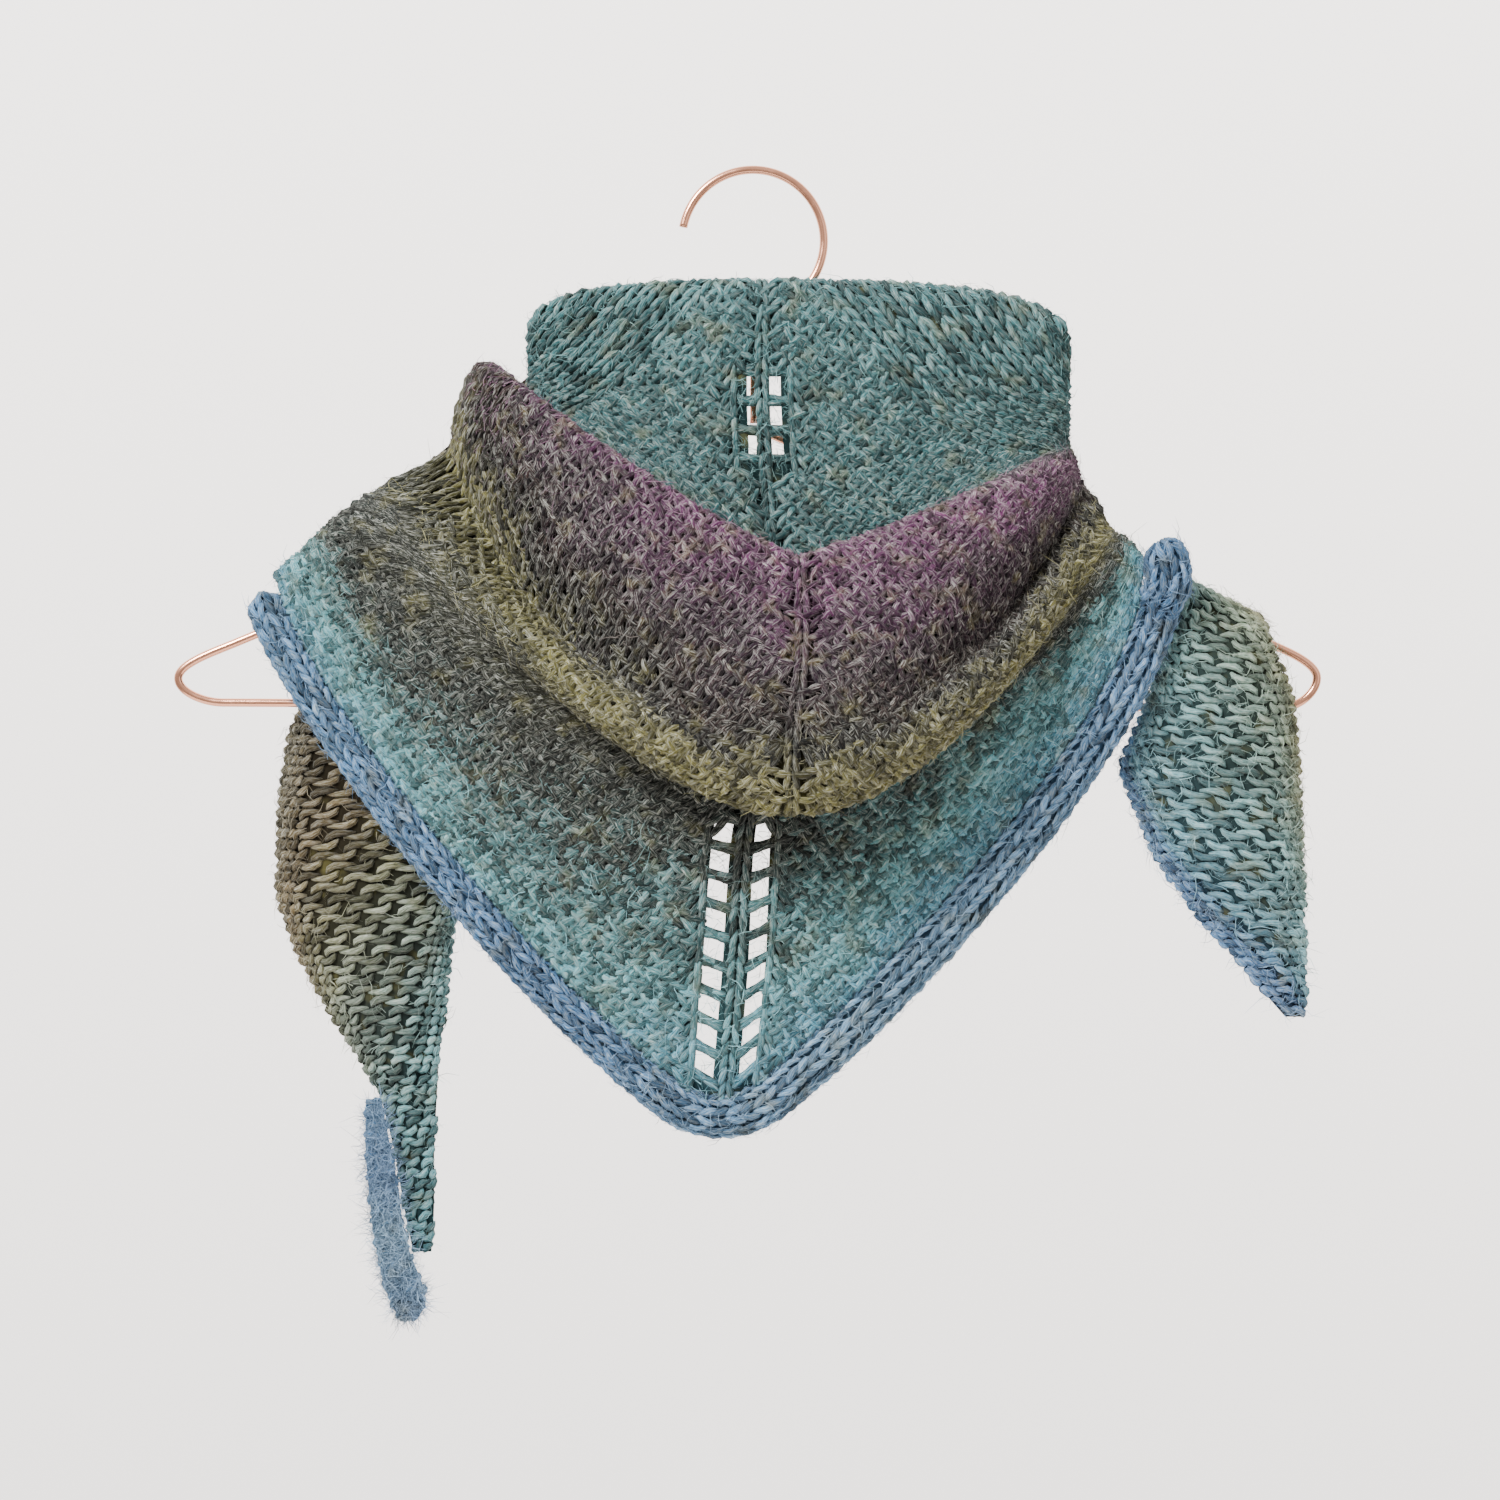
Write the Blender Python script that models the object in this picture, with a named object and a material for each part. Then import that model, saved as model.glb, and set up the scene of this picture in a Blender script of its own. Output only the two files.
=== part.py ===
"""Triangle shawl, hand-knit in bulky wool, draped over a copper-plated wire hanger.

Millimetres throughout, turned into metres where the meshes are made. +X is right, +Z is up and
the shawl's front faces -Y. The origin is the top inside point of the hanger's hook, where the
hanger hangs. The front of the shawl is one sheet lofted through the fold lines in FOLD_LINES,
from the long edge at the top of the collar down to the seam of the edging. Its two wings go on
over the hanger's arms and end in the tails.
"""
import bmesh
import bpy
from collections import namedtuple
from functools import partial
from math import asin, cos, pi, radians, sin, sqrt
from mathutils import Vector

MM = 0.001
WALL = 4.2                  # thickness of the bulky knitted cloth
SEAM = 0.3                  # gap kept between neighbouring solids

# The fold lines were measured as they look from in front, in the hanger's own plane.
VIEW_DISTANCE = 1250.0
VIEW_X = -2.6
VIEW_Z = -216.0

# Hanger, 3.2 mm wire
WIRE = 1.6                  # radius
WIRE_SIDES = 8
HOOK_ROUND = 26.6           # radius of the hook at the wire's centre line
HOOK_CENTRE_X = -1.5
HOOK_TIP = 169.0            # degrees round the hook to its free tip, from the +X side
HOOK_END = -33.0            # degrees where the hook runs out into the neck
APEX_X = -1.0               # where the neck meets the two arms
APEX_Z = -95.5
NECK_TOP = -66.0
ARM_START = 0.95            # half the gap between the two arms' ends at the apex
BEND_X = (-196.0, 192.0)    # where the arms start to bend, left and right
BEND_Z = -176.0
LOOP_X = (-217.0, 210.0)    # outermost points of the end loops
LOOP_Z = -189.0
BAR_Z = (-198.2, -200.2)    # the bottom bar, left and right

Fold = namedtuple("Fold", "name spine_x spine_z spine_y "
                          "left_x left_z left_power left_round left_y "
                          "right_x right_z right_power right_round right_y inset")

# One row for each line that runs across the front, from the long edge down to the edging.
# spine_* is the point on the centre spine, left_* and right_* the points where the line turns to
# the back. power and round shape its rise from the spine, and inset pulls its sides inwards.
FOLD_LINES = [
    Fold("edge", 2, -54, -5.2, -71.5, -64, 8, .8, 8, 102.5, -68, 8, .7, 8, 0),
    Fold("roll_back", 2, -47.5, -5.8, -72, -58, 8, .8, 8, 103.5, -61.5, 8, .7, 8, 0),
    Fold("roll_rise", 2, -42.7, -8.6, -74.8, -53.3, 8, .8, 8, 106.2, -56.8, 8, .7, 8, 0),
    Fold("roll_top", 2, -42.7, -14, -80.2, -53.3, 8, .8, 8, 111.8, -56.8, 8, .7, 8, 0),
    Fold("roll_front", 2, -47.5, -17, -83, -58, 8, .8, 8, 114.5, -61.5, 8, .7, 8, 0),
    Fold("collar", 2, -86, -20, -83, -75, 2, 0, 8, 114.5, -82, 2, 0, 8, 0),
    Fold("collar_low", 5, -130, -27, -84, -86, 1.3, 0, 8, 114.5, -92, 1.3, 0, 8, 0),
    Fold("valley_back", 9, -158, -37, -86, -97, 1.25, 0, 8, 114, -99, 1.2, 0, 8, 0),
    Fold("valley_front", 12, -159, -46, -95, -97, 1.25, 0, 8, 114.5, -103, 1.2, 0, 8, 0),
    Fold("ridge_back", 15, -148, -51.5, -95.5, -78, 1.25, 0, 8, 115.2, -105, 1.2, 0, 8, 0),
    Fold("ridge", 16, -146, -59.5, -102.5, -73, 1.25, 0, 8, 116.5, -107.5, 1.2, 0, 8, 0),
    Fold("bulge", 17, -178, -75, -111, -91, 1.5, .3, 8, 118, -112, 1.5, .3, 8, 0),
    Fold("crease", 14, -206, -81, -113, -105, 3, .3, 8, 119.5, -117, 2.4, .2, 6, 19),
    Fold("olive", 13, -224, -83, -127, -112, 1.9, .3, 8, 125, -123, 2.2, .3, 4, 0),
    Fold("lip", 13, -238, -76, -139, -119, 1.7, 0, 5, 130, -134, 1.9, 0, 1, 0),
    Fold("tuck_low", 8, -231, -62, -146, -123, 1.6, 0, 3, 133, -137, 1.85, 0, -2, 0),
    Fold("tuck_top", 2, -226, -51, -152, -127, 1.6, .1, 1, 136, -138.5, 1.8, .1, -8, 0),
    Fold("below_tuck", -4, -243, -45, -159, -133, 1.5, .1, -2, 138, -141.5, 1.4, .2, -13, 0),
    Fold("triangle", -8, -300, -39, -171, -145, 1.35, .2, -6, 140.5, -145, 1.2, .3, -15.5, 0),
    Fold("seam", -12, -351, -36, -179, -152, 1.2, .2, -8, 143.5, -149, 1, .35, -16.5, 0),
]
LINE = {fold.name: number for number, fold in enumerate(FOLD_LINES)}
COLLAR_ENDS = LINE["valley_front"] + 0.5
NECK_ENDS = LINE["crease"] + 0.4
OLIVE_ENDS = LINE["tuck_top"] + 0.5
BACK_DEPTH = 34.0           # how far the sheet runs to the back past its turn
BACK_FALL = 150.0           # how fast it falls there
TURN_END = 104.0            # degrees from the spine where the front nodes end
COLUMN_TURNS = (17, 30, 43, 56, 69, 80, 92, TURN_END)

# The eyelets beside the spine: holes from INNER to OUTER, one every PITCH
EYELET_INNER = 3.4
EYELET_OUTER = 10.9
EYELET_HEIGHT = 7.4
EYELET_PITCH = 11.2
EYELET_NARROWING = 0.26     # how far an eyelet's corners come in
EYELET_POINT = 0.9          # how far its top and bottom go out

# The front sheet's stretches, from fold line to fold line. eyelet_top is the height of the
# first eyelet's middle, and seams names the sides that meet another solid.
Stretch = namedtuple("Stretch", "name first last rows eyelets eyelet_top wool seams")
STRETCHES = [
    Stretch("collar", 0, COLLAR_ENDS, 17, 5, -79.5, "teal", ("bottom", "left", "right")),
    Stretch("neck_fold", COLLAR_ENDS, NECK_ENDS, 11, 0, 0, "purple",
            ("top", "bottom", "left", "right")),
    Stretch("olive_fold", NECK_ENDS, OLIVE_ENDS, 12, 0, 0, "olive",
            ("top", "bottom", "left", "right")),
    Stretch("front_triangle", OLIVE_ENDS, len(FOLD_LINES) - 1, 8, 9, -248.0, "aqua",
            ("top", "left", "right")),
]

# Edging: a rolled band round both short edges, oval in section, wider on the right
EDGING_HALF_WIDTH = (6.2, 7.6)
EDGING_HALF_DEPTH = (4.6, 5.2)
EDGING_SIDES = 10
EDGING_SEAM = 0.8           # gap at the middle of the slightly wavy seam
EDGING_TURNS_END = (86, 82)     # degrees from the spine where the seam's left and right end
EDGING_CLOSING = 0.6        # width at its ends, as a share
Station = namedtuple("Station", "x y z")
EDGING_RIGHT_TOP = [        # its right end lies on the front sheet's corner
    Station(151, -25.5, -154),
    Station(150, -27, -146),
    Station(147.5, -27, -139.5),
]

# The wings: each hangs from a top line just behind the front sheet's end, down behind its arm.
WING_LEAVES = Vector((0, 13, -100))     # its run at the top line
WING_ARRIVES = Vector((0, 0, -50))      # its run where it meets the tail
WING_LEFT_TOP = [
    Station(-172, 5, -149),
    Station(-151, 15.5, -126),
    Station(-126, 20.4, -107),
    Station(-99, 20.6, -84),
    Station(-74, 20.6, -62),
]
WING_RIGHT_TOP = [
    Station(102, 20, -64),
    Station(112, 20, -84),
    Station(117, 19.8, -106),
    Station(126, 18.5, -125),
    Station(140, 9, -141),
]
TAIL_COLUMNS = 8
TAIL_EDGE_TURN = 7.0        # how far a tail's edges turn to the back
TAIL_FLAT_BELOW = 30.0      # narrower than this, a tail has no turned edges
# Tails, hanging: one row for each level. The front face lies at y, bow bends it forward.
Level = namedtuple("Level", "z left_x right_x y bow")
TAIL_LEFT = [
    Level(-190, -167, -104, 4.4, 0),
    Level(-209, -176, -104, 5.4, 1),
    Level(-235, -180, -106, 8, 4),
    Level(-270, -181, -111, 9, 5),
    Level(-290, -174, -114, 9, 5),
    Level(-310, -164, -115.5, 9, 5),
    Level(-328, -153, -117, 9, 4),
    Level(-346, -143, -118, 9, 2),
    Level(-366, -138, -119, 9, 1),
    Level(-390, -134, -119, 9, 1),
    Level(-404, -131, -120, 9, .5),
]
TAIL_LEFT_TIP = [
    Level(-347, -148.5, -139, 3.8, 0),
    Level(-362, -149, -136, 4.2, 0),
    Level(-377, -148, -133, 4.4, 0),
    Level(-392, -146.5, -131, 4.4, 0),
    Level(-405, -144.5, -128, 4.4, 0),
    Level(-417, -142, -123, 4.4, 0),
    Level(-425, -138.5, -122, 5, 0),
    Level(-430, -136, -126, 5, 0),
]
WING_RIGHT_END = [
    Level(-196, 107, 148, 21.5, 0),
    Level(-206, 107, 148, 21.5, 0),
]
TAIL_RIGHT = [
    Level(-173, 154, 193.5, -14, 1),
    Level(-197, 146, 202, -14, 4),
    Level(-222, 135, 204, -14, 6),
    Level(-253, 147, 205.5, -14, 6),
    Level(-280, 165, 206.5, -14, 5),
    Level(-293, 177, 207.5, -14, 4),
    Level(-308, 189, 208, -14, 2),
    Level(-316, 196, 207, -14, 0),
]

# Where the right tail starts behind the arm and comes over it: one row for each station
Over = namedtuple("Over", "left_x right_x y left_z right_z")
OVER_ARM = [
    Over(128, 183, 10, -192, -190),
    Over(138, 186, 8.5, -172, -178),
    Over(153, 187, 1, -151.5, -167.5),
    Over(156, 189, -5, -152.5, -169),
]


def seen_at(x, z, y):
    """The real place, at depth y, of a point that looks to be at x, z in the hanger's plane."""
    nearer = (VIEW_DISTANCE + y) / VIEW_DISTANCE
    return Vector((VIEW_X + (x - VIEW_X) * nearer, y, VIEW_Z + (z - VIEW_Z) * nearer))


def rise(across, power, roundness):
    """How far a fold line has risen, 0 at the spine and 1 where it turns to the back."""
    across = min(1.0, abs(across))
    return (1 - roundness) * across ** power + roundness * (1 - sqrt(1 - across * across))


def fold_turn(fold, column):
    """A column's angle from the spine, in radians: columns near the spine are set in mm."""
    unit, amount = column
    if unit == "degrees":
        return radians(amount)
    reach = (fold.right_x - fold.spine_x) if amount > 0 else (fold.spine_x - fold.left_x)
    return asin(amount / reach)


def fold_point(fold, turn):
    """A point on a fold line, turn radians from the spine, to the left when negative."""
    if turn < 0:
        side_x, side_z, side_y = fold.left_x, fold.left_z, fold.left_y
        power, roundness = fold.left_power, fold.left_round
    else:
        side_x, side_z, side_y = fold.right_x, fold.right_z, fold.right_y
        power, roundness = fold.right_power, fold.right_round
    past = abs(turn) - pi / 2
    across = abs(sin(turn))
    x = fold.spine_x + (side_x - fold.spine_x) * across
    if past > 0:
        return Vector((x, side_y + BACK_DEPTH * sin(past), side_z - BACK_FALL * (1 - cos(past))))
    z = fold.spine_z + (side_z - fold.spine_z) * rise(across, power, roundness)
    y = side_y + (fold.spine_y - side_y) * cos(turn) + fold.inset * across ** 2 * cos(turn) * 2
    return seen_at(x, z, y)


def smooth_through(points, place):
    """A point on the smooth curve through points, at a fractional place in their list."""
    first = min(int(place), len(points) - 2)
    part = place - first
    start, end = points[first], points[first + 1]
    before = points[first - 1] if first > 0 else start * 2 - end
    after = points[first + 2] if first + 2 < len(points) else end * 2 - start
    chords = [max(1e-6, (b - a).length) ** 0.5
              for a, b in ((before, start), (start, end), (end, after))]
    into, along, out = chords
    leave = (start - before) / into - (end - before) / (into + along) + (end - start) / along
    arrive = (end - start) / along - (after - start) / (along + out) + (after - end) / out
    leave, arrive = leave * along, arrive * along
    square, cube = part * part, part ** 3
    return (start * (2 * cube - 3 * square + 1) + leave * (cube - 2 * square + part)
            + end * (3 * square - 2 * cube) + arrive * (cube - square))


def front_point(place, column, extra_turn=0.0):
    """A point on the front sheet's middle, at a fractional fold line and a column."""
    first = max(0, min(int(place), len(FOLD_LINES) - 2) - 1)
    near = FOLD_LINES[first:first + 4]
    points = [fold_point(fold, fold_turn(fold, column) + extra_turn) for fold in near]
    return smooth_through(points, place - first)


def front_normal(place, column):
    """The front sheet's outward direction."""
    low = max(0.0, place - 0.02)
    high = min(len(FOLD_LINES) - 1.0, place + 0.02)
    down = front_point(high, column) - front_point(low, column)
    right = front_point(place, column, 0.01) - front_point(place, column, -0.01)
    return down.cross(right).normalized()


def hermite(start, leave, end, arrive, part):
    """A point on the curve that leaves start and arrives at end with the given runs."""
    square, cube = part * part, part ** 3
    return (start * (2 * cube - 3 * square + 1) + leave * (cube - 2 * square + part)
            + end * (3 * square - 2 * cube) + arrive * (cube - square))


def make_material(name, colour, roughness, metallic=0.0):
    material = bpy.data.materials.new(name)
    material.use_nodes = True
    surface = material.node_tree.nodes["Principled BSDF"]
    surface.inputs["Base Color"].default_value = (*colour, 1.0)
    surface.inputs["Roughness"].default_value = roughness
    surface.inputs["Metallic"].default_value = metallic
    return material


def make_object(name, points, faces, material):
    mesh = bpy.data.meshes.new(name)
    mesh.from_pydata([point * MM for point in points], [], faces)
    working = bmesh.new()
    working.from_mesh(mesh)
    bmesh.ops.recalc_face_normals(working, faces=working.faces)
    working.to_mesh(mesh)
    working.free()
    mesh.shade_smooth()
    mesh.set_sharp_from_angle(angle=radians(50))
    mesh.materials.append(material)
    piece = bpy.data.objects.new(name, mesh)
    bpy.context.scene.collection.objects.link(piece)
    return piece


def make_wall(name, middle, normals, holes, material):
    """A closed wall round a grid of middle points, with the cells in holes cut right through."""
    rows, columns = len(middle), len(middle[0])
    half = WALL / 2
    points = []
    for side in (half, -half):
        for row_points, row_normals in zip(middle, normals):
            points += [point + normal * side for point, normal in zip(row_points, row_normals)]
    layer = rows * columns

    def corner(row, column, back):
        return row * columns + column + (layer if back else 0)

    def solid(row, column):
        return 0 <= row < rows - 1 and 0 <= column < columns - 1 and (row, column) not in holes

    faces = []
    for row in range(rows - 1):
        for column in range(columns - 1):
            if not solid(row, column):
                continue
            ring = [(row, column), (row, column + 1), (row + 1, column + 1), (row + 1, column)]
            faces.append([corner(*place, False) for place in ring])
            faces.append([corner(*place, True) for place in reversed(ring)])
            beyond = [(row - 1, column), (row, column + 1), (row + 1, column), (row, column - 1)]
            for number, neighbour in enumerate(beyond):
                if not solid(*neighbour):
                    low, high = sorted((ring[number], ring[(number + 1) % 4]))
                    faces.append([corner(*low, False), corner(*low, True), corner(*high, True)])
                    faces.append([corner(*low, False), corner(*high, True), corner(*high, False)])
    used = sorted({index for face in faces for index in face})
    renumber = {old: new for new, old in enumerate(used)}
    kept = [points[index] for index in used]
    return make_object(name, kept, [[renumber[i] for i in face] for face in faces], material)


def trimmed(middle, sides):
    """The grid with the outer rows or columns named in sides drawn in by half a seam."""
    if "top" in sides:
        middle[0] = [a + (b - a).normalized() * SEAM / 2 for a, b in zip(middle[0], middle[1])]
    if "bottom" in sides:
        middle[-1] = [a + (b - a).normalized() * SEAM / 2 for a, b in zip(middle[-1], middle[-2])]
    for row in middle:
        if "left" in sides:
            row[0] = row[0] + (row[1] - row[0]).normalized() * SEAM / 2
        if "right" in sides:
            row[-1] = row[-1] + (row[-2] - row[-1]).normalized() * SEAM / 2
    return middle


def spine_place(first, last, height):
    """The fractional fold line between first and last whose spine looks to be at a height."""
    steps = 400
    for number in range(steps + 1):
        place = first + (last - first) * number / steps
        point = front_point(place, ("mm", 0.0))
        nearer = (VIEW_DISTANCE + point.y) / VIEW_DISTANCE
        if VIEW_Z + (point.z - VIEW_Z) / nearer <= height:
            return place
    return last


def front_columns():
    """Columns from the left turn to the right one, closer together beside the spine."""
    centre = [EYELET_INNER, (EYELET_INNER + EYELET_OUTER) / 2, EYELET_OUTER]
    right = [("mm", offset) for offset in centre] + [("degrees", turn) for turn in COLUMN_TURNS]
    left = [(unit, -amount) for unit, amount in reversed(right)]
    return left + [("mm", 0.0)] + right


def front_rows(stretch):
    """A stretch's rows, as fractional fold lines, and each eyelet's upper and lower row."""
    heights = [stretch.eyelet_top - EYELET_PITCH * number for number in range(stretch.eyelets)]
    first, last = stretch.first, stretch.last
    eyelets = [(spine_place(first, last, height + EYELET_HEIGHT / 2),
                spine_place(first, last, height - EYELET_HEIGHT / 2)) for height in heights]
    places = [place for eyelet in eyelets for place in eyelet]
    top = min(places, default=last + 1) - 0.12
    bottom = max(places, default=last + 1) + 0.12
    plain = [first + (last - first) * number / stretch.rows for number in range(stretch.rows + 1)]
    return sorted(places + [place for place in plain if place < top or place > bottom]), eyelets


def front_stretch(stretch, material):
    """One stretch of the front sheet between two fold lines."""
    places, eyelets = front_rows(stretch)
    columns = front_columns()
    middle = [[front_point(place, column) for column in columns] for place in places]
    normals = [[front_normal(place, column) for column in columns] for place in places]
    holes = set()
    spine = columns.index(("mm", 0.0))
    for upper, _lower in eyelets:
        row = places.index(upper)
        for column in (spine - 3, spine + 1):
            holes |= {(row, column), (row, column + 1)}
            round_eyelet(middle, row, column)
    return make_wall(stretch.name, trimmed(middle, stretch.seams), normals, holes, material)


def round_eyelet(middle, row, column):
    """Draws an eyelet's four corners in and its top and bottom out."""
    upper, lower = middle[row], middle[row + 1]
    down = (lower[column + 1] - upper[column + 1]).normalized()
    for line in (upper, lower):
        for corner in (column, column + 2):
            line[corner] = line[corner].lerp(line[column + 1], EYELET_NARROWING)
    upper[column + 1] -= down * EYELET_POINT
    lower[column + 1] += down * EYELET_POINT


def level_at(levels, z):
    """The tail's row at a height, worked out between the two rows of its table."""
    for above, below in zip(levels, levels[1:]):
        if z >= below.z:
            break
    part = (above.z - z) / (above.z - below.z)
    return Level(*[a + (b - a) * part for a, b in zip(above, below)])


def tail_point(levels, z, across):
    """A point on a tail's middle: both its edges turn to the back."""
    level = level_at(levels, z)
    width = level.right_x - level.left_x
    turn = max(0.0, min(TAIL_EDGE_TURN, (width - TAIL_FLAT_BELOW) / 4))
    edge = min(TAIL_EDGE_TURN, width / 4)
    half = min(WALL / 2, width / 5)
    left, right = level.left_x + half, level.right_x - half
    stations = [
        Vector((left, level.y + turn, 0)),
        Vector((left + edge * 0.3, level.y + turn * 0.35, 0)),
        Vector((left + edge, level.y, 0)),
        Vector((left + (right - left) * 0.5, level.y - level.bow, 0)),
        Vector((right - edge, level.y, 0)),
        Vector((right - edge * 0.3, level.y + turn * 0.35, 0)),
        Vector((right, level.y + turn, 0)),
    ]
    point = smooth_through(stations, across * (len(stations) - 1))
    return seen_at(point.x, z, point.y)


def tail_normal(levels, z, across):
    """A tail's outward direction, shorter where the tail is too narrow for its full thickness."""
    right = (tail_point(levels, z, min(1, across + 0.01))
             - tail_point(levels, z, max(0, across - 0.01)))
    down = tail_point(levels, z - 1, across) - tail_point(levels, z + 1, across)
    level = level_at(levels, z)
    return down.cross(right).normalized() * min(1, (level.right_x - level.left_x) / 16)


def tail(name, levels, rows, material, sides):
    top, bottom = levels[0].z, levels[-1].z
    heights = [top + (bottom - top) * row / rows for row in range(rows + 1)]
    shares = [column / TAIL_COLUMNS for column in range(TAIL_COLUMNS + 1)]
    middle = [[tail_point(levels, z, across) for across in shares] for z in heights]
    normals = [[tail_normal(levels, z, across) for across in shares] for z in heights]
    return make_wall(name, trimmed(middle, sides), normals, set(), material)


def wing_point(top, levels, across, part):
    """From a wing's top line, over the arm, down behind it to a row of levels."""
    start = smooth_through([Vector(station) for station in top], across * (len(top) - 1))
    hanging = tail_point(levels, levels[0].z, across)
    return hermite(start, WING_LEAVES, hanging, WING_ARRIVES, part)


def hung_wall(name, point_at, rows, levels, material):
    """A wall over point_at(across, part) whose lower edge meets the top row of levels."""
    step = 0.01
    middle, normals = [], []
    for row in range(rows + 1):
        part = row / rows
        line, facing = [], []
        for column in range(TAIL_COLUMNS + 1):
            across = column / TAIL_COLUMNS
            line.append(point_at(across, part))
            right = (point_at(min(1, across + step), part)
                     - point_at(max(0, across - step), part))
            down = point_at(across, min(1, part + step)) - point_at(across, max(0, part - step))
            facing.append(down.cross(right).normalized())
            if row == rows:
                facing[-1] = tail_normal(levels, levels[0].z, across)
        middle.append(line)
        normals.append(facing)
    return make_wall(name, trimmed(middle, ("bottom",)), normals, set(), material)


def over_arm_point(across, part):
    """From behind the right arm, up over it and down to the top of the right tail."""
    stations = []
    for row in OVER_ARM:
        x = row.left_x + (row.right_x - row.left_x) * across
        z = row.left_z + (row.right_z - row.left_z) * across
        stations.append(Vector((x, row.y, z)))
    stations.append(tail_point(TAIL_RIGHT, TAIL_RIGHT[0].z, across))
    return smooth_through(stations, part * (len(stations) - 1))


def edging_path():
    """The edging's centre line along the seam, from its left end round the point to its right."""
    seam = LINE["seam"]
    path, widths, depths = [], [], []
    left_end, right_end = EDGING_TURNS_END
    turns = [-left_end, -78, -70, -61, -51, -41, -31, -21, -13, -6,
             0, 6, 13, 21, 31, 41, 51, 61, 70, 76, right_end]
    for turn in turns:
        side = 1 if turn > 0 else 0
        half_width, half_depth = EDGING_HALF_WIDTH[side], EDGING_HALF_DEPTH[side]
        column = ("degrees", turn)
        point = front_point(seam, column)
        along = front_point(seam, column, 0.01) - front_point(seam, column, -0.01)
        outward = along.cross(front_normal(seam, column)).normalized()
        if turn == 0:
            half_width = sum(EDGING_HALF_WIDTH) / 2
            outward = Vector((0, 0, -1))
        if outward.z > 0:
            outward.negate()
        path.append(point + outward * (half_width + EDGING_SEAM))
        widths.append(half_width)
        depths.append(half_depth)
    for station in EDGING_RIGHT_TOP:
        path.append(Vector(station))
        widths.append(EDGING_HALF_WIDTH[1])
        depths.append(EDGING_HALF_DEPTH[1])
    for end in (0, -1):
        widths[end] *= EDGING_CLOSING
        depths[end] *= EDGING_CLOSING
    return path, widths, depths


def make_tube(name, path, half_widths, half_depths, sides, material):
    """A closed tube along a path, oval in section, its short way to the front."""
    front = Vector((0, 1, 0))
    points = []
    for number, point in enumerate(path):
        before = path[max(0, number - 1)]
        after = path[min(len(path) - 1, number + 1)]
        along = (after - before).normalized()
        wide = along.cross(front).normalized()
        deep = wide.cross(along).normalized()
        for side in range(sides):
            angle = 2 * pi * side / sides
            points.append(point + wide * (half_widths[number] * cos(angle))
                          + deep * (half_depths[number] * sin(angle)))
    faces = []
    for ring in range(len(path) - 1):
        for side in range(sides):
            a, b = ring * sides + side, ring * sides + (side + 1) % sides
            faces.append([a, b, b + sides, a + sides])
    last = (len(path) - 1) * sides
    faces.append(list(range(sides)))
    faces.append([last + side for side in reversed(range(sides))])
    return make_object(name, points, faces, material)


def make_wire(name, path, material):
    radii = [WIRE] * len(path)
    return make_tube(name, path, radii, radii, WIRE_SIDES, material)


def hanger_hook_path():
    """From the hook's free tip round and down the neck to the apex."""
    centre = Vector((HOOK_CENTRE_X, 0, WIRE - HOOK_ROUND))
    points = []
    steps = 18
    for number in range(steps + 1):
        angle = radians(HOOK_TIP + (HOOK_END - HOOK_TIP) * number / steps)
        points.append(centre + Vector((cos(angle), 0, sin(angle))) * HOOK_ROUND)
    start = points[-1]
    leave = Vector((sin(radians(HOOK_END)), 0, -cos(radians(HOOK_END)))) * 22
    neck = Vector((APEX_X, 0, NECK_TOP))
    points += [hermite(start, leave, neck, Vector((0, 0, -26)), part / 5) for part in range(1, 6)]
    points.append(Vector((APEX_X, 0, APEX_Z + WIRE * 1.1 + SEAM)))
    return points


def hanger_arm_path(side):
    """From the apex out along an arm, round its end loop and back to the bottom bar."""
    number = 0 if side < 0 else 1
    apex = Vector((APEX_X + side * ARM_START, 0, APEX_Z))
    bend = Vector((BEND_X[number], 0, BEND_Z))
    outer = Vector((LOOP_X[number], 0, LOOP_Z))
    bar = Vector((BEND_X[number] + side * 4, 0, BAR_Z[number]))
    points = [apex.lerp(bend, share) for share in (0, 0.33, 0.66, 1)]
    along = (bend - apex).normalized()
    down = Vector((0, 0, -1))
    points += [hermite(bend, along * 26, outer, down * 16, part / 4) for part in range(1, 5)]
    back = Vector((-side, 0, 0))
    points += [hermite(outer, down * 16, bar, back * 22, part / 4) for part in range(1, 5)]
    points.append(bar + back * 8)
    return points


def build_hanger(copper):
    make_wire("hanger_hook", hanger_hook_path(), copper)
    ends = []
    for name, side in (("hanger_arm_left", -1), ("hanger_arm_right", 1)):
        path = hanger_arm_path(side)
        make_wire(name, path, copper)
        ends.append(path[-1])
    left, right = ends
    inward = Vector((SEAM, 0, 0))
    make_wire("hanger_bar", [left + inward, right - inward], copper)


def build_front(wools):
    for stretch in STRETCHES:
        front_stretch(stretch, wools[stretch.wool])


def build_edging(blue):
    path, widths, depths = edging_path()
    make_tube("edging", path, widths, depths, EDGING_SIDES, blue)


def build_wings(wools):
    left = partial(wing_point, WING_LEFT_TOP, TAIL_LEFT)
    right = partial(wing_point, WING_RIGHT_TOP, WING_RIGHT_END)
    hung_wall("wing_left", left, 9, TAIL_LEFT, wools["olive"])
    hung_wall("wing_right", right, 9, WING_RIGHT_END, wools["olive"])
    tail("tail_left", TAIL_LEFT, 13, wools["green"], ("top",))
    tail("tail_left_tip", TAIL_LEFT_TIP, 9, wools["blue"], ())
    hung_wall("tail_right_over", over_arm_point, 10, TAIL_RIGHT, wools["olive"])
    tail("tail_right", TAIL_RIGHT, 13, wools["aqua"], ("top",))


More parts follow.
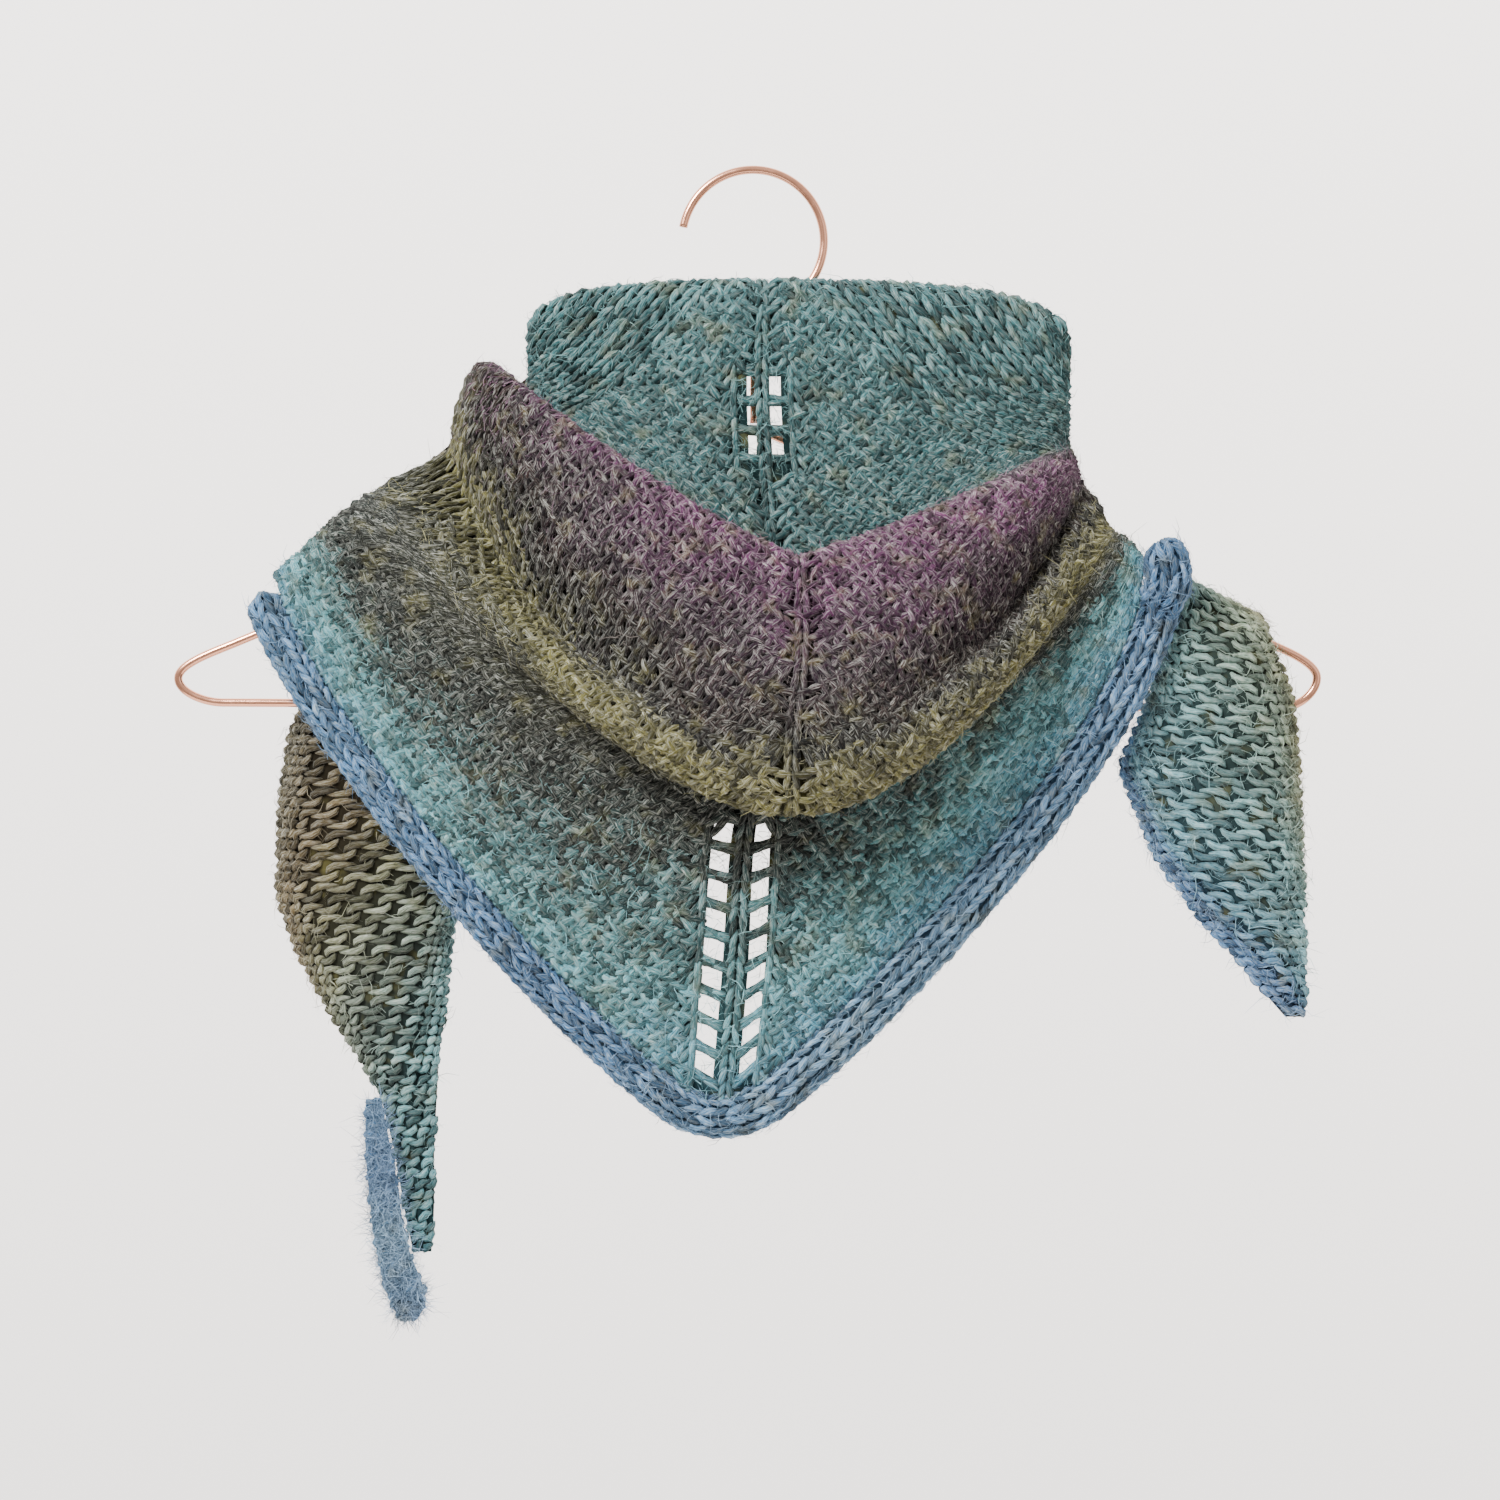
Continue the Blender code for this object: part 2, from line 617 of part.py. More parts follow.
def main():
    for old in list(bpy.data.objects):
        bpy.data.objects.remove(old, do_unlink=True)
    wools = {
        "teal": make_material("teal_wool", (0.09, 0.23, 0.26), 0.95),
        "purple": make_material("purple_wool", (0.17, 0.08, 0.13), 0.95),
        "olive": make_material("olive_wool", (0.22, 0.21, 0.1), 0.95),
        "green": make_material("green_wool", (0.2, 0.27, 0.2), 0.95),
        "aqua": make_material("aqua_wool", (0.15, 0.38, 0.42), 0.95),
        "blue": make_material("blue_wool", (0.12, 0.26, 0.48), 0.95),
    }
    copper = make_material("copper_plated_wire", (0.72, 0.36, 0.24), 0.25, 1.0)
    build_hanger(copper)
    build_front(wools)
    build_edging(wools["blue"])
    build_wings(wools)


main()
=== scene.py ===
"""Looks of the triangle shawl on its wire hanger.

The shawl is knitted stitch by stitch in bulky heathered wool: legs in the shape of a V on the
knit side, bumps on the purl side, over a thin felted shell that keeps the garment's form and is
coloured very dark, as painted shade in the gaps between the stitches. The sheets come from the
same tables as the solids. Lengths are in millimetres until a mesh is made.
"""
import math
from collections import namedtuple

import bpy
import numpy as np
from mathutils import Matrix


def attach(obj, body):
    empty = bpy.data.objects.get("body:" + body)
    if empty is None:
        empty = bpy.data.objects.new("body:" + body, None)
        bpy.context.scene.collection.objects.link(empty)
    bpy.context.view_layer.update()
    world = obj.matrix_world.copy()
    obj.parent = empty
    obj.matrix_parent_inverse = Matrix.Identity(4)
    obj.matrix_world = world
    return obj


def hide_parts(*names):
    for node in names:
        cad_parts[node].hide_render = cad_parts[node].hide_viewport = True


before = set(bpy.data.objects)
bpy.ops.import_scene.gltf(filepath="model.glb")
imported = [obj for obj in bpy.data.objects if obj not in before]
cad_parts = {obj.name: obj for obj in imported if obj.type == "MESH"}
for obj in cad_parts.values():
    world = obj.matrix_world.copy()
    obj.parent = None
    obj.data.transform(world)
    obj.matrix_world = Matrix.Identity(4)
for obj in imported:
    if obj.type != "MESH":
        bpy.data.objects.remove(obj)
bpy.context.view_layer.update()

bl_info = {
    "name": "Triangle shawl",
    "version": (1, 0, 0),
    "blender": (4, 5, 0),
    "location": "3D View > Sidebar > Shawl",
    "description": "Knits the triangle shawl stitch by stitch and hangs it on its wire hanger",
    "category": "Object",
}

MM = 0.001
VIEW_DISTANCE = 1250.0      # the photo's camera, in front of the hanger
VIEW_X = -2.6
VIEW_Z = -216.0
PHOTO_WIDTH = 562.5         # what the photo shows across, in the hanger's plane

Fold = namedtuple("Fold", "name spine_x spine_z spine_y "
                          "left_x left_z left_power left_round left_y "
                          "right_x right_z right_power right_round right_y inset")
FOLD_LINES = [
    Fold("edge", 2, -54, -5.2, -71.5, -64, 8, .8, 8, 102.5, -68, 8, .7, 8, 0),
    Fold("roll_back", 2, -47.5, -5.8, -72, -58, 8, .8, 8, 103.5, -61.5, 8, .7, 8, 0),
    Fold("roll_rise", 2, -42.7, -8.6, -74.8, -53.3, 8, .8, 8, 106.2, -56.8, 8, .7, 8, 0),
    Fold("roll_top", 2, -42.7, -14, -80.2, -53.3, 8, .8, 8, 111.8, -56.8, 8, .7, 8, 0),
    Fold("roll_front", 2, -47.5, -17, -83, -58, 8, .8, 8, 114.5, -61.5, 8, .7, 8, 0),
    Fold("collar", 2, -86, -20, -83, -75, 2, 0, 8, 114.5, -82, 2, 0, 8, 0),
    Fold("collar_low", 5, -130, -27, -84, -86, 1.3, 0, 8, 114.5, -92, 1.3, 0, 8, 0),
    Fold("valley_back", 9, -158, -37, -86, -97, 1.25, 0, 8, 114, -99, 1.2, 0, 8, 0),
    Fold("valley_front", 12, -159, -46, -95, -97, 1.25, 0, 8, 114.5, -103, 1.2, 0, 8, 0),
    Fold("ridge_back", 15, -148, -51.5, -95.5, -78, 1.25, 0, 8, 115.2, -105, 1.2, 0, 8, 0),
    Fold("ridge", 16, -146, -59.5, -102.5, -73, 1.25, 0, 8, 116.5, -107.5, 1.2, 0, 8, 0),
    Fold("bulge", 17, -178, -75, -111, -91, 1.5, .3, 8, 118, -112, 1.5, .3, 8, 0),
    Fold("crease", 14, -206, -81, -113, -105, 3, .3, 8, 119.5, -117, 2.4, .2, 6, 19),
    Fold("olive", 13, -224, -83, -127, -112, 1.9, .3, 8, 125, -123, 2.2, .3, 4, 0),
    Fold("lip", 13, -238, -76, -139, -119, 1.7, 0, 5, 130, -134, 1.9, 0, 1, 0),
    Fold("tuck_low", 8, -231, -62, -146, -123, 1.6, 0, 3, 133, -137, 1.85, 0, -2, 0),
    Fold("tuck_top", 2, -226, -51, -152, -127, 1.6, .1, 1, 136, -138.5, 1.8, .1, -8, 0),
    Fold("below_tuck", -4, -243, -45, -159, -133, 1.5, .1, -2, 138, -141.5, 1.4, .2, -13, 0),
    Fold("triangle", -8, -300, -39, -171, -145, 1.35, .2, -6, 140.5, -145, 1.2, .3, -15.5, 0),
    Fold("seam", -12, -351, -36, -179, -152, 1.2, .2, -8, 143.5, -149, 1, .35, -16.5, 0),
]
LAST = len(FOLD_LINES) - 1
BACK_DEPTH = 34.0           # how far the cloth goes round behind the hanger's arms
BACK_FALL = 150.0           # and how steeply it falls there
TURN_END = 104.0            # degrees from the spine to the front sheet's side edges
FRONT_STEPS = 380           # rows of the front sheet's grid
BELOW_COLLAR, BELOW_NECK, BELOW_OLIVE = 8.5, 12.4, 16.5     # places in FOLD_LINES
STRETCHES = {"collar": (0, BELOW_COLLAR), "neck_fold": (BELOW_COLLAR, BELOW_NECK),
             "olive_fold": (BELOW_NECK, BELOW_OLIVE), "front_triangle": (BELOW_OLIVE, LAST + 1)}
DIAGONAL = 1 / math.sqrt(2)
WIRE_RADIUS = 1.6
EYELET_INNER = 3.4
EYELET_OUTER = 8.6
EYELET_HEIGHT = 7.4
EYELET_PITCH = 11.2
EYELET_COLUMN = 11.2        # from the spine to the columns outside the eyelets
OPEN_SPINE = 14.4           # how far the diagonal stitches keep from the spine by the eyelets
CLOSED_SPINE = 4.2          # and where there are none
PURL_SPINE = 14.0           # and on the purl side
CHAIN = 5.2                 # length of one chained stitch of the edging
END_FIBRES = 5000           # loose fibres tried on each end and on the edging
FIBRE_TAPER = (0.11, 0.09, 0.03)    # a loose fibre's half width from root to tip
# The eyelets that open right through: each column's first height and its count
EyeletRun = namedtuple("EyeletRun", "top count")
EYELETS = [EyeletRun(-79.5, 3), EyeletRun(-248.0, 9)]

Station = namedtuple("Station", "x y z")
EDGING_RIGHT_TOP = [Station(151, -25.5, -154), Station(150, -27, -146), Station(147.5, -27, -139.5)]
WING_LEFT_TOP = [
    Station(-172, 5, -149), Station(-151, 15.5, -126), Station(-126, 20.4, -107),
    Station(-99, 20.6, -84), Station(-74, 20.6, -62),
]
WING_RIGHT_TOP = [
    Station(102, 20, -64), Station(112, 20, -84), Station(117, 19.8, -106),
    Station(126, 18.5, -125), Station(140, 9, -141),
]
Level = namedtuple("Level", "z left_x right_x y bow")
TAIL_LEFT = [
    Level(-190, -167, -104, 4.4, 0),
    Level(-209, -176, -104, 5.4, 1),
    Level(-235, -180, -106, 8, 4),
    Level(-270, -181, -111, 9, 5),
    Level(-290, -174, -114, 9, 5),
    Level(-310, -164, -115.5, 9, 5),
    Level(-328, -153, -117, 9, 4),
    Level(-346, -143, -118, 9, 2),
    Level(-366, -138, -119, 9, 1),
    Level(-390, -134, -119, 9, 1),
    Level(-404, -131, -120, 9, .5),
]
TAIL_LEFT_TIP = [
    Level(-347, -148.5, -139, 3.8, 0),
    Level(-362, -149, -136, 4.2, 0),
    Level(-377, -148, -133, 4.4, 0),
    Level(-392, -146.5, -131, 4.4, 0),
    Level(-405, -144.5, -128, 4.4, 0),
    Level(-417, -142, -123, 4.4, 0),
    Level(-425, -138.5, -122, 5, 0),
    Level(-430, -136, -126, 5, 0),
]
WING_RIGHT_END = [Level(-196, 107, 148, 21.5, 0), Level(-206, 107, 148, 21.5, 0)]
TAIL_RIGHT = [
    Level(-173, 154, 193.5, -14, 1),
    Level(-197, 146, 202, -14, 4),
    Level(-222, 135, 204, -14, 6),
    Level(-253, 147, 205.5, -14, 6),
    Level(-280, 165, 206.5, -14, 5),
    Level(-293, 177, 207.5, -14, 4),
    Level(-308, 189, 208, -14, 2),
    Level(-316, 196, 207, -14, 0),
]
Over = namedtuple("Over", "left_x right_x y left_z right_z")
OVER_ARM = [
    Over(128, 183, 10, -192, -190),
    Over(138, 186, 8.5, -172, -178),
    Over(153, 187, 1, -151.5, -167.5),
    Over(156, 189, -5, -152.5, -169),
]
WING_LEAVES = np.array((0.0, 13.0, -100.0))
WING_ARRIVES = np.array((0.0, 0.0, -50.0))
TAIL_EDGE_TURN = 7.0        # width of a tail's edge that turns to the back
TAIL_FLAT_BELOW = 30.0      # a tail narrower than this stays flat

FIBRE_STRETCH = 0.08        # how slowly the fibres' pattern changes along a strand
STRAND_SIDES = 4
UNEVEN = 0.16               # spread of the stitches' places
# A strand's way through one stitch: along the wale, along the row, off the cloth, and its radius
Bend = namedtuple("Bend", "wale row lift radius")
KNIT_LEG = [
    Bend(-2.3, 0.7, -0.4, 0.75), Bend(0.0, 1.05, 0.85, 1.3), Bend(2.3, 1.6, 1.3, 1.5),
    Bend(4.6, 2.1, 0.9, 1.25), Bend(6.6, 2.3, -0.6, 0.7),
]
PURL_BUMP = [
    Bend(1.3, -3.1, -0.4, 0.7), Bend(0.1, -1.7, 0.7, 1.3), Bend(-0.4, 0.0, 1.1, 1.45),
    Bend(0.1, 1.7, 0.7, 1.3), Bend(1.3, 3.1, -0.4, 0.7),
]

COLOUR_REACH = 160.0        # from the spine to where the stripes have shifted most
# Colours along the front, by fold line, from the long edge down to the seam: the yarn's stripes, and the
# darkest stops are painted shade and shadow at the crease and under the lip
Stripe = namedtuple("Stripe", "place colour")
FRONT_STRIPES_AND_SHADOWS = [
    Stripe(0, "56868A"), Stripe(4, "579498"), Stripe(5.4, "477F82"), Stripe(7.4, "356468"),
    Stripe(8.3, "3A3640"), Stripe(9.2, "7E5270"), Stripe(10.2, "763468"), Stripe(11.2, "46283C"),
    # Painted shade: the stops at 11.9 and 12.4 are darkened for the crease under the neck fold
    Stripe(11.9, "3A2420"), Stripe(12.4, "241B14"), Stripe(12.9, "6B653A"), Stripe(13.8, "8E884A"),
    # Painted shadow: the stops at 14.8, 16.6 and 17.2 are darkened for the tuck and the strip under the
    # olive lip
    Stripe(14.8, "4A482C"), Stripe(16.6, "22261F"), Stripe(17.2, "33423C"), Stripe(17.9, "5F9CA0"),
    Stripe(18.4, "78C2CC"), Stripe(19, "64AAC2"),
]

PATCHES = 38.0              # scale of the patches of colour: 38 to a metre, about 26 mm each
FLECKS = 110.0              # golden flecks, about 9 mm
SCUFFS = 260.0              # scuffs in the copper, about 4 mm
# A strand's fibres, by its own lie: about 0.3 mm wide, coarser than real ones so that they show
FIBRES = 4.5


def linear(colour):
    """An sRGB hex colour as linear red, green, blue and alpha."""
    channels = [int(colour[start:start + 2], 16) / 255 for start in (0, 2, 4)]
    return tuple(c / 12.92 if c <= 0.04045 else ((c + 0.055) / 1.055) ** 2.4
                 for c in channels) + (1.0,)


def unit(vectors):
    """Vectors at length 1."""
    length = np.linalg.norm(vectors, axis=-1, keepdims=True)
    return vectors / np.maximum(length, 1e-9)


def seen_at(x, z, y):
    """The real places, at depths y, of points that look to be at x, z in the hanger's plane."""
    nearer = (VIEW_DISTANCE + y) / VIEW_DISTANCE
    return np.stack((VIEW_X + (x - VIEW_X) * nearer, y + 0 * x, VIEW_Z + (z - VIEW_Z) * nearer), -1)


def fold_curve(fold, turns):
    """A fold line's points at angles from the spine, to the left when negative."""
    left = turns < 0
    side_x = np.where(left, fold.left_x, fold.right_x)
    side_z = np.where(left, fold.left_z, fold.right_z)
    side_y = np.where(left, fold.left_y, fold.right_y)
    power = np.where(left, fold.left_power, fold.right_power)
    roundness = np.where(left, fold.left_round, fold.right_round)
    past = np.abs(turns) - math.pi / 2
    across = np.abs(np.sin(turns))
    x = fold.spine_x + (side_x - fold.spine_x) * across
    rise = (1 - roundness) * across ** power + roundness * (1 - np.sqrt(1 - across * across))
    z = fold.spine_z + (side_z - fold.spine_z) * rise
    y = side_y + (fold.spine_y - side_y) * np.cos(turns)
    y = y + fold.inset * across ** 2 * np.cos(turns) * 2
    behind = np.stack((x, side_y + BACK_DEPTH * np.sin(past),
                       side_z - BACK_FALL * (1 - np.cos(past))), -1)
    return np.where((past > 0)[:, None], behind, seen_at(x, z, y))


def hermite(start, leave, end, arrive, part):
    """Points on the smooth curve from start to end that leaves and arrives along vectors."""
    square, cube = part * part, part ** 3
    return (start * (2 * cube - 3 * square + 1) + leave * (cube - 2 * square + part)
            + end * (3 * square - 2 * cube) + arrive * (cube - square))


def smooth_rows(rows, places):
    """Rows of points on the smooth curves through rows, at fractional places in the list."""
    smooth = []
    for place in places:
        first = min(int(place), len(rows) - 2)
        part = place - first
        start, end = rows[first], rows[first + 1]
        before = rows[first - 1] if first > 0 else start * 2 - end
        after = rows[first + 2] if first + 2 < len(rows) else end * 2 - start
        into, along, out = [np.maximum(1e-6, np.linalg.norm(b - a, axis=-1, keepdims=True)) ** 0.5
                            for a, b in ((before, start), (start, end), (end, after))]
        leave = (start - before) / into - (end - before) / (into + along) + (end - start) / along
        arrive = (end - start) / along - (after - start) / (along + out) + (after - end) / out
        smooth.append(hermite(start, leave * along, end, arrive * along, part))
    return np.array(smooth)


class Sheet:
    """A grid of points with outward normals, read at fractional rows and columns from 0 to 1."""

    def __init__(self, points):
        self.points = points
        down = np.gradient(points, axis=0)
        right = np.gradient(points, axis=1)
        self.normals = unit(np.cross(down, right))

    def read(self, table, down, across):
        """A table's values between its rows and columns."""
        rows, columns = table.shape[0] - 1, table.shape[1] - 1
        row = np.clip(down, 0, 1) * rows
        column = np.clip(across, 0, 1) * columns
        low_row = np.minimum(row.astype(int), rows - 1)
        low_column = np.minimum(column.astype(int), columns - 1)
        row_part = (row - low_row)[..., None]
        column_part = (column - low_column)[..., None]
        upper = (table[low_row, low_column] * (1 - column_part)
                 + table[low_row, low_column + 1] * column_part)
        lower = (table[low_row + 1, low_column] * (1 - column_part)
                 + table[low_row + 1, low_column + 1] * column_part)
        return upper * (1 - row_part) + lower * row_part

    def at(self, down, across):
        """Points and normals at shares down and across."""
        down, across = np.broadcast_arrays(np.asarray(down, float), np.asarray(across, float))
        points = self.read(self.points, down, across)
        return points, unit(self.read(self.normals, down, across))

    def flat(self, x, y):
        """Points and normals at flat places."""
        down, across, _inside = self.locate(x, y)
        return self.at(down, across)


class Front(Sheet):
    """The front sheet. Flat places are millimetres from the spine and down from the long edge."""

    def __init__(self):
        turns = np.radians(np.linspace(-TURN_END, TURN_END, 417))
        lines = [fold_curve(fold, turns) for fold in FOLD_LINES]
        points = smooth_rows(lines, np.linspace(0, LAST, FRONT_STEPS + 1))
        middle = len(turns) // 2
        steps = np.linalg.norm(np.diff(points, axis=1), axis=-1)
        length = np.concatenate((np.zeros((len(points), 1)), np.cumsum(steps, axis=1)), axis=1)
        length = length - length[:, middle:middle + 1]
        self.left_end, self.right_end = -length[:, 0], length[:, -1]
        drops = np.linalg.norm(np.diff(points[:, middle], axis=0), axis=-1)
        self.depth = np.concatenate(([0.0], np.cumsum(drops)))
        shares = np.linspace(-1, 1, 241)
        even = []
        for row in range(len(points)):
            ends = np.where(shares < 0, self.left_end[row], self.right_end[row])
            even.append(np.stack([np.interp(shares * ends, length[row], points[row, :, axis])
                                  for axis in range(3)], -1))
        super().__init__(np.array(even))

    def locate(self, x, y):
        """Shares down and across of flat places, and whether they lie on the front sheet."""
        whole = self.depth[-1]
        reach = np.abs(x)
        deep = y / np.maximum(0.05, 1 - reach / whole)
        slope = np.clip(deep / whole, 0, 1)
        down = np.interp(deep, self.depth, np.linspace(0, 1, FRONT_STEPS + 1))
        ends = np.where(x < 0, np.interp(down * FRONT_STEPS, range(FRONT_STEPS + 1), self.left_end),
                        np.interp(down * FRONT_STEPS, range(FRONT_STEPS + 1), self.right_end))
        run = reach * np.sqrt(1 + slope ** 2)
        across = 0.5 + np.sign(x) * run / ends / 2
        return down, across, (run <= ends) & (deep <= whole) & (y >= 0)

    def spine_depth(self, height, first, last):
        """Flat depth of the spine where it looks to be at a height, between two of its rows."""
        spine = self.points[:, self.points.shape[1] // 2]
        seen = VIEW_Z + (spine[:, 2] - VIEW_Z) * VIEW_DISTANCE / (VIEW_DISTANCE + spine[:, 1])
        return float(np.interp(-height, -seen[first:last], self.depth[first:last]))


class Panel(Sheet):
    """A wing or tail, flat from its top line's middle: millimetres across and down."""

    def __init__(self, points):
        super().__init__(points)
        steps = np.linalg.norm(np.diff(points, axis=0), axis=-1).mean(axis=1)
        self.depth = np.concatenate(([0.0], np.cumsum(steps)))
        self.width = np.linalg.norm(np.diff(points, axis=1), axis=-1).sum(axis=1)

    def locate(self, x, y):
        """Shares down and across of flat places, and whether they lie on the panel."""
        down = np.interp(y, self.depth, np.linspace(0, 1, len(self.depth)))
        width = np.interp(y, self.depth, self.width)
        across = 0.5 + x / width
        return down, across, (np.abs(x) <= width / 2) & (y >= 0) & (y <= self.depth[-1])


def level_rows(levels, heights):
    """A tail's left edge, right edge, depth and bow at heights."""
    return np.stack([np.interp(-heights, [-level.z for level in levels],
                               [getattr(level, name) for level in levels])
                     for name in ("left_x", "right_x", "y", "bow")], -1)


def tail_rows(levels, heights, shares):
    """A tail's points at heights: both its edges turn to the back where it is wide enough."""
    rows = []
    for z, (left_x, right_x, y, bow) in zip(heights, level_rows(levels, heights)):
        width = right_x - left_x
        turn = max(0.0, min(TAIL_EDGE_TURN, (width - TAIL_FLAT_BELOW) / 4))
        edge = min(TAIL_EDGE_TURN, width / 4)
        half = min(2.1, width / 5)
        left, right = left_x + half, right_x - half
        stations = np.array([
            (left, y + turn, 0), (left + edge * 0.3, y + turn * 0.35, 0), (left + edge, y, 0),
            ((left + right) / 2, y - bow, 0),
            (right - edge, y, 0), (right - edge * 0.3, y + turn * 0.35, 0), (right, y + turn, 0),
        ], float)
        line = smooth_rows(list(stations), shares * (len(stations) - 1))
        rows.append(seen_at(line[:, 0], z + 0 * line[:, 0], line[:, 1]))
    return np.array(rows)


def wing_rows(top, levels, shares, rows):
    """A wing's points from its top line down to a tail's first level."""
    stations = [np.array(station, float) for station in top]
    start = smooth_rows(stations, shares * (len(stations) - 1))
    end = tail_rows(levels, np.array([float(levels[0].z)]), shares)[0]
    return np.array([hermite(start, WING_LEAVES, end, WING_ARRIVES, part)
                     for part in np.linspace(0, 1, rows)])


def over_arm_rows(shares, rows):
    """Points of the right end from behind the hanger's arm, over it and down to the tail."""
    lines = []
    for row in OVER_ARM:
        x = row.left_x + (row.right_x - row.left_x) * shares
        z = row.left_z + (row.right_z - row.left_z) * shares
        lines.append(np.stack((x, row.y + 0 * x, z), -1))
    lines.append(tail_rows(TAIL_RIGHT, np.array([float(TAIL_RIGHT[0].z)]), shares)[0])
    return smooth_rows(lines, np.linspace(0, len(lines) - 1, rows))


def tail_heights(levels, rows):
    """Even heights from a tail's first level to its last."""
    return np.linspace(levels[0].z, levels[-1].z, rows)


def build_panels():
    """The hanging stretches behind and beside the front, by name."""
    shares = np.linspace(0, 1, 41)
    left_wing = wing_rows(WING_LEFT_TOP, TAIL_LEFT, shares, 40)
    left_tail = tail_rows(TAIL_LEFT, tail_heights(TAIL_LEFT, 60), shares)
    right_tail = tail_rows(TAIL_RIGHT, tail_heights(TAIL_RIGHT, 50), shares)
    return {
        "left": Panel(np.concatenate((left_wing, left_tail[1:]))),
        "left_tip": Panel(tail_rows(TAIL_LEFT_TIP, tail_heights(TAIL_LEFT_TIP, 30), shares)),
        "right_wing": Panel(wing_rows(WING_RIGHT_TOP, WING_RIGHT_END, shares, 40)),
        "right": Panel(np.concatenate((over_arm_rows(shares, 24), right_tail[1:]))),
    }


def make_piece(name, points, faces, material, values=None):
    """A mesh from points in millimetres and a face array or list of arrays, with attributes."""
    groups = faces if isinstance(faces, list) else [faces]
    groups = [np.asarray(group, np.int32) for group in groups if len(group)]
    sizes = np.concatenate([np.full(len(group), group.shape[1], np.int32) for group in groups])
    loops = np.concatenate([group.ravel() for group in groups])
    mesh = bpy.data.meshes.new(name)
    mesh.vertices.add(len(points))
    mesh.vertices.foreach_set("co", (np.asarray(points, np.float64) * MM).ravel())
    mesh.loops.add(len(loops))
    mesh.loops.foreach_set("vertex_index", loops)
    mesh.polygons.add(len(sizes))
    mesh.polygons.foreach_set("loop_start", np.concatenate(([0], np.cumsum(sizes)[:-1])))
    mesh.polygons.foreach_set("use_smooth", np.ones(len(sizes), bool))
    mesh.update(calc_edges=True)
    for label, data in (values or {}).items():
        vectors = np.shape(data)[-1] == 3
        layer = mesh.attributes.new(label, "FLOAT_VECTOR" if vectors else "FLOAT", "POINT")
        layer.data.foreach_set("vector" if vectors else "value", np.asarray(data, np.float32).ravel())
    mesh.materials.append(material)
    piece = bpy.data.objects.new(name, mesh)
    bpy.context.scene.collection.objects.link(piece)
    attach(piece, "root")
    return piece


def strands(centres, normals, radii, sides, flatness=0.85):
    """Points and faces of many closed tubes: centres is (tubes, rings, 3), radii (rings,)."""
    tubes, rings = centres.shape[:2]
    along = unit(np.gradient(centres, axis=1))
    wide = unit(np.cross(along, normals))
    deep = np.cross(wide, along)
    angles = np.arange(sides) * 2 * math.pi / sides
    radii = np.broadcast_to(radii, (tubes, rings))[:, :, None, None]
    ring = (wide[:, :, None] * np.cos(angles)[:, None]
            + deep[:, :, None] * (flatness * np.sin(angles))[:, None])
    points = centres[:, :, None] + ring * radii
    index = np.arange(tubes * rings * sides).reshape(tubes, rings, sides)
    turned = np.roll(index, -1, axis=2)
    quads = np.stack((index[:, :-1], turned[:, :-1], turned[:, 1:], index[:, 1:]), -1)
    caps = np.concatenate((index[:, 0, ::-1], index[:, -1]))
    return points.reshape(-1, 3), [quads.reshape(-1, 4)[:, ::-1], caps[:, ::-1]]


def row_slant(front, x, y, wale_x, wale_y):
    """How far the rows lean along the wales where the folds slant the cloth."""
    along = front.flat(x + wale_x, y + wale_y)[0] - front.flat(x - wale_x, y - wale_y)[0]
    aside = front.flat(x + wale_y, y - wale_x)[0] - front.flat(x - wale_y, y + wale_x)[0]
    slant = np.sum(along * aside, axis=-1) / np.maximum(np.sum(along ** 2, axis=-1), 0.5)
    return np.clip(slant, -1.2, 1.2)[:, None]


def stitch_lines(sheet, x, y, wale_x, wale_y, bends, side=1, row_sign=1, off=0.0, size=1.0):
    """Strand centres and normals for stitches at flat places, each with its wale's direction."""
    table = np.array(bends)
    wale = table[:, 0] * size
    row = table[:, 1] * row_sign * size
    slant = row_slant(sheet, x, y, wale_x, wale_y) if isinstance(sheet, Front) else 0.0
    flat_x = x[:, None] + wale_x[:, None] * (wale - slant * row) + wale_y[:, None] * row
    flat_y = y[:, None] + wale_y[:, None] * (wale - slant * row) - wale_x[:, None] * row
    centres, normals = sheet.flat(flat_x, flat_y)
    centres = centres + normals * (table[:, 2][None, :, None] * size + off) * side
    return centres, normals * side


def front_colour(front, x, y):
    """Where in the stripes flat places lie: to the left of the folds the yarn was further on,
    and on the triangle the painted shadow under the lip reaches further down on the left."""
    down, _across, _inside = front.locate(x, y)
    reach = np.abs(x) / COLOUR_REACH
    folded = np.clip((BELOW_OLIVE - down * LAST) / 2, 0, 1)
    further = np.where(x < 0, 0.11 * reach ** 1.5, -0.02 * reach)
    reach = np.minimum(reach, 1)
    # Painted shadow under the olive lip: the dark stops reach further down on the left of the triangle
    below = np.where(x < 0, -0.03 * np.sin(math.pi * reach), 0.03 * reach)
    return down + further * folded + below * (1 - folded)


def beside_eyelets(spans, y):
    """Whether flat depths lie in a stretch of the spine that has eyelets."""
    beside = np.zeros(np.shape(y), bool)
    first = 0
    for run in EYELETS:
        last = first + run.count - 1
        beside |= (y > spans[first][0] - EYELET_PITCH / 2) & (y < spans[last][1] + EYELET_PITCH / 2)
        first = last + 1
    return beside


